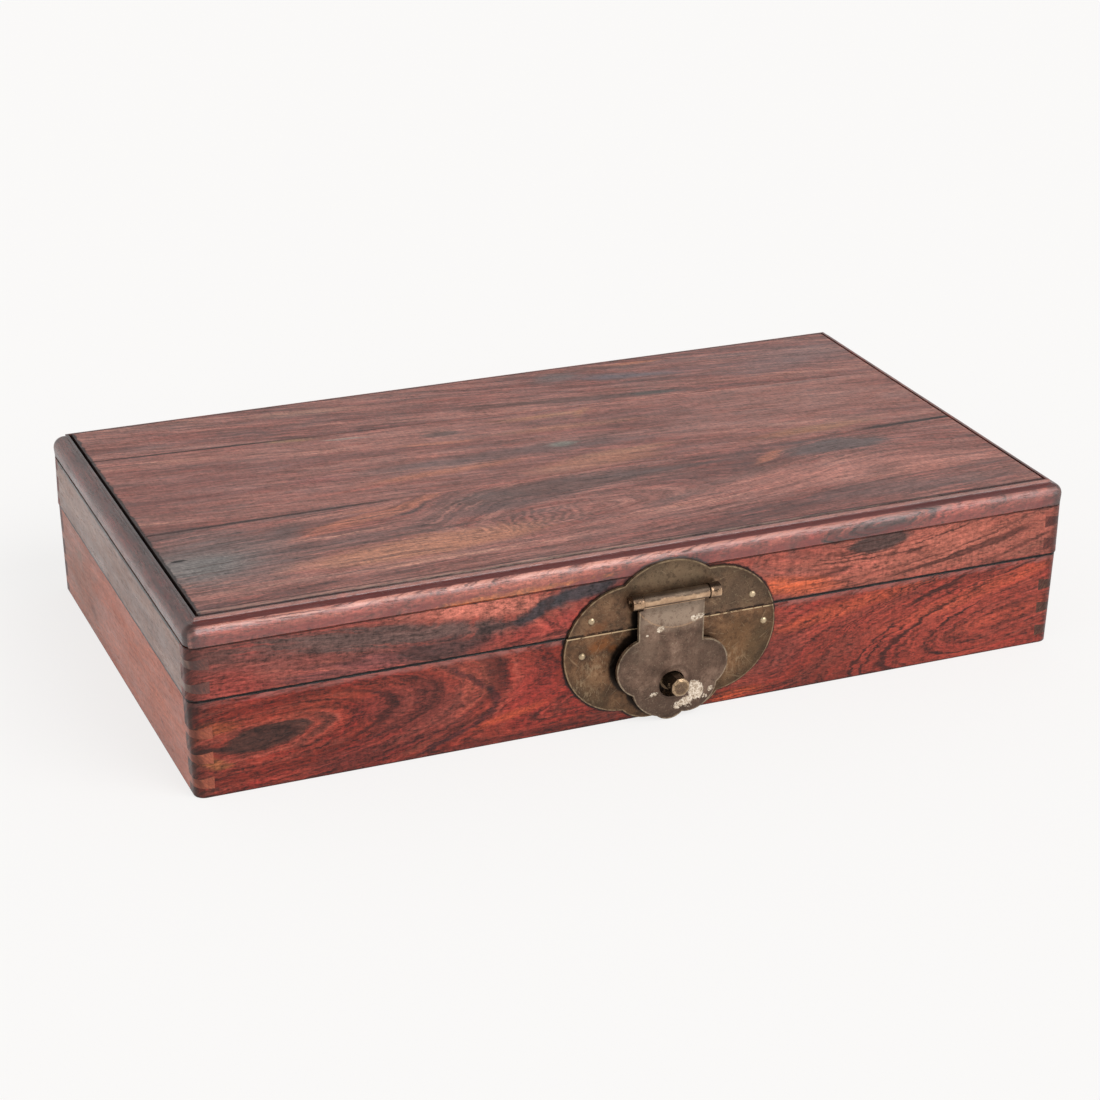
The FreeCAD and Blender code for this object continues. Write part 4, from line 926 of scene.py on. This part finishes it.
rims = {  # piece: CAD node, wood, turn, half sizes, shadow line
    "rimFront": ("lid_rim_front", "rosewoodRimFront", 0, halfLid, (0.7, 0.3)),
    "rimBack": ("lid_rim_back", "rosewoodRimBack", 180, halfLid, (0.7, 0.3)),
    "rimLeft": ("lid_rim_left", "rosewoodRimLeft", -90, halfLid[::-1], (1.6, 0.8)),
    "rimRight": ("lid_rim_right", "rosewoodRimRight", 90, halfLid[::-1], (0.7, 0.3)),
}
for name, (nodeName, wood, turn, halfSizes, slot) in rims.items():
    makeRim(name, nodeName, woods[wood], turn, *halfSizes, rimShape, slot)
print("rim moulded")


hardware = {  # piece: CAD node, metal, worn edge in mm
    "lockPlateUpper": ("lock_plate_lid", "agedBrassLidPlate", 0.2),
    "lockPlateLower": ("lock_plate_base", "agedBrassBasePlate", 0.2),
    "lockPinsUpper": ("lock_plate_pins_lid", "rubbedBrassNails", 0),
    "lockPinsLower": ("lock_plate_pins_base", "rubbedBrassNails", 0),
    "lockPost": ("lock_post", "agedBrassPost", 0.3),
    "lockPostWasher": ("lock_post_washer", "agedBrassPost", 0.2),
    "haspPlate": ("hasp", "agedBrassHasp", 0.18),
    "haspEyeLeft": ("hasp_eye_left", "rubbedBrassBarrel", 0.2),
    "haspEyeRight": ("hasp_eye_right", "rubbedBrassBarrel", 0.2),
    "haspPin": ("hasp_pin", "rubbedBrassBarrel", 0.08),
    "hingeLeafBaseLeft": ("hinge_leaf_base_left", "agedBrassHinge", 0.15),
    "hingeLeafBaseRight": ("hinge_leaf_base_right", "agedBrassHinge", 0.15),
    "hingeLeafLidLeft": ("hinge_leaf_lid_left", "agedBrassHinge", 0.15),
    "hingeLeafLidRight": ("hinge_leaf_lid_right", "agedBrassHinge", 0.15),
    "hingePinLeft": ("hinge_pin_left", "agedBrassHinge", 0.1),
    "hingePinRight": ("hinge_pin_right", "agedBrassHinge", 0.1),
    "hingeNailsBase": ("hinge_nails_base", "rubbedBrassNails", 0),
    "hingeNailsLid": ("hinge_nails_lid", "rubbedBrassNails", 0),
}
for name, (nodeName, metal, width) in hardware.items():
    wornPiece(name, nodeName, metals[metal], width)
print("hardware fitted:", len(hardware))


studio = {
    "floorColour": "f7f5f3", "floorGlow": "fcfbfa", "glowShare": 0.8, "floorSize": 6.0,
    "horizon": 0.95, "zenith": 0.35, "fadeFrom": 0.25, "fadeTo": 0.95,
    "keyStrength": 2.0, "keyAngle": 48.0, "keyAzimuth": 32.0, "keyHeight": 38.0,
}
floorMesh = bpy.data.meshes.new("floor")
bm = bmesh.new()
bmesh.ops.create_grid(bm, x_segments=1, y_segments=1, size=studio["floorSize"])
bm.to_mesh(floorMesh)
bm.free()
floor = addToScene("floor", floorMesh)
floorMaterial, shader = newMaterial("paleFloor")
shader.inputs["Base Color"].default_value = shade(studio["floorColour"])
shader.inputs["Roughness"].default_value = 0.9
shader.inputs["Specular IOR Level"].default_value = 0.1
glow = addNode("Emission", {"Color": shade(studio["floorGlow"])})
rays = addNode("LightPath").outputs
seen = calc("MAXIMUM", rays["Is Camera Ray"], rays["Is Glossy Ray"])
seen = calc("MAXIMUM", seen, rays["Is Transmission Ray"])
blend = addNode("MixShader", {0: times(seen, studio["glowShare"]),
                                        1: shader.outputs[0], 2: glow.outputs[0]})
connect(blend.outputs[0], bench["tree"].nodes["Material Output"].inputs["Surface"])
floorMesh.materials.append(floorMaterial)

world = bpy.data.worlds.new("softStudio")
world.use_nodes = True
bpy.context.scene.world = world
bench["tree"] = world.node_tree
bench["tree"].nodes.clear()
height = split(addNode("TexCoord").outputs["Generated"])["Z"]
level = addNode("MapRange",
                {"Value": height, "From Min": studio["fadeFrom"], "From Max": studio["fadeTo"],
                 "To Min": studio["horizon"], "To Max": studio["zenith"]},
                interpolation_type="SMOOTHSTEP").outputs["Result"]
background = addNode("Background", {"Color": (1, 1, 1, 1), "Strength": level})
addNode("OutputWorld", {"Surface": background.outputs[0]})

keyLight = bpy.data.lights.new("keyLight", "SUN")
keyLight.energy = studio["keyStrength"]
keyLight.angle = math.radians(studio["keyAngle"])
key = addToScene("keyLight", keyLight)
key.rotation_euler = (math.radians(90 - studio["keyHeight"]), 0, math.radians(studio["keyAzimuth"]))

viewpoint = {
    "place": (-0.4391, -1.0273, 0.5264), "yaw": 23.170, "downward": 23.887, "roll": 0.678,
    "lens": 87.777, "sensor": 36,
}
cameraData = bpy.data.cameras.new("camera")
cameraData.lens = viewpoint["lens"]
cameraData.sensor_width = viewpoint["sensor"]
camera = addToScene("camera", cameraData)
turn = Matrix.Rotation(math.radians(-viewpoint["yaw"]), 4, "Z")
turn = turn @ Matrix.Rotation(math.radians(90 - viewpoint["downward"]), 4, "X")
turn = turn @ Matrix.Rotation(math.radians(viewpoint["roll"]), 4, "Z")
camera.rotation_euler = turn.to_euler()
camera.location = viewpoint["place"]
bpy.context.scene.camera = camera
bpy.context.scene.view_settings.view_transform = "Standard"

print("scene ready")
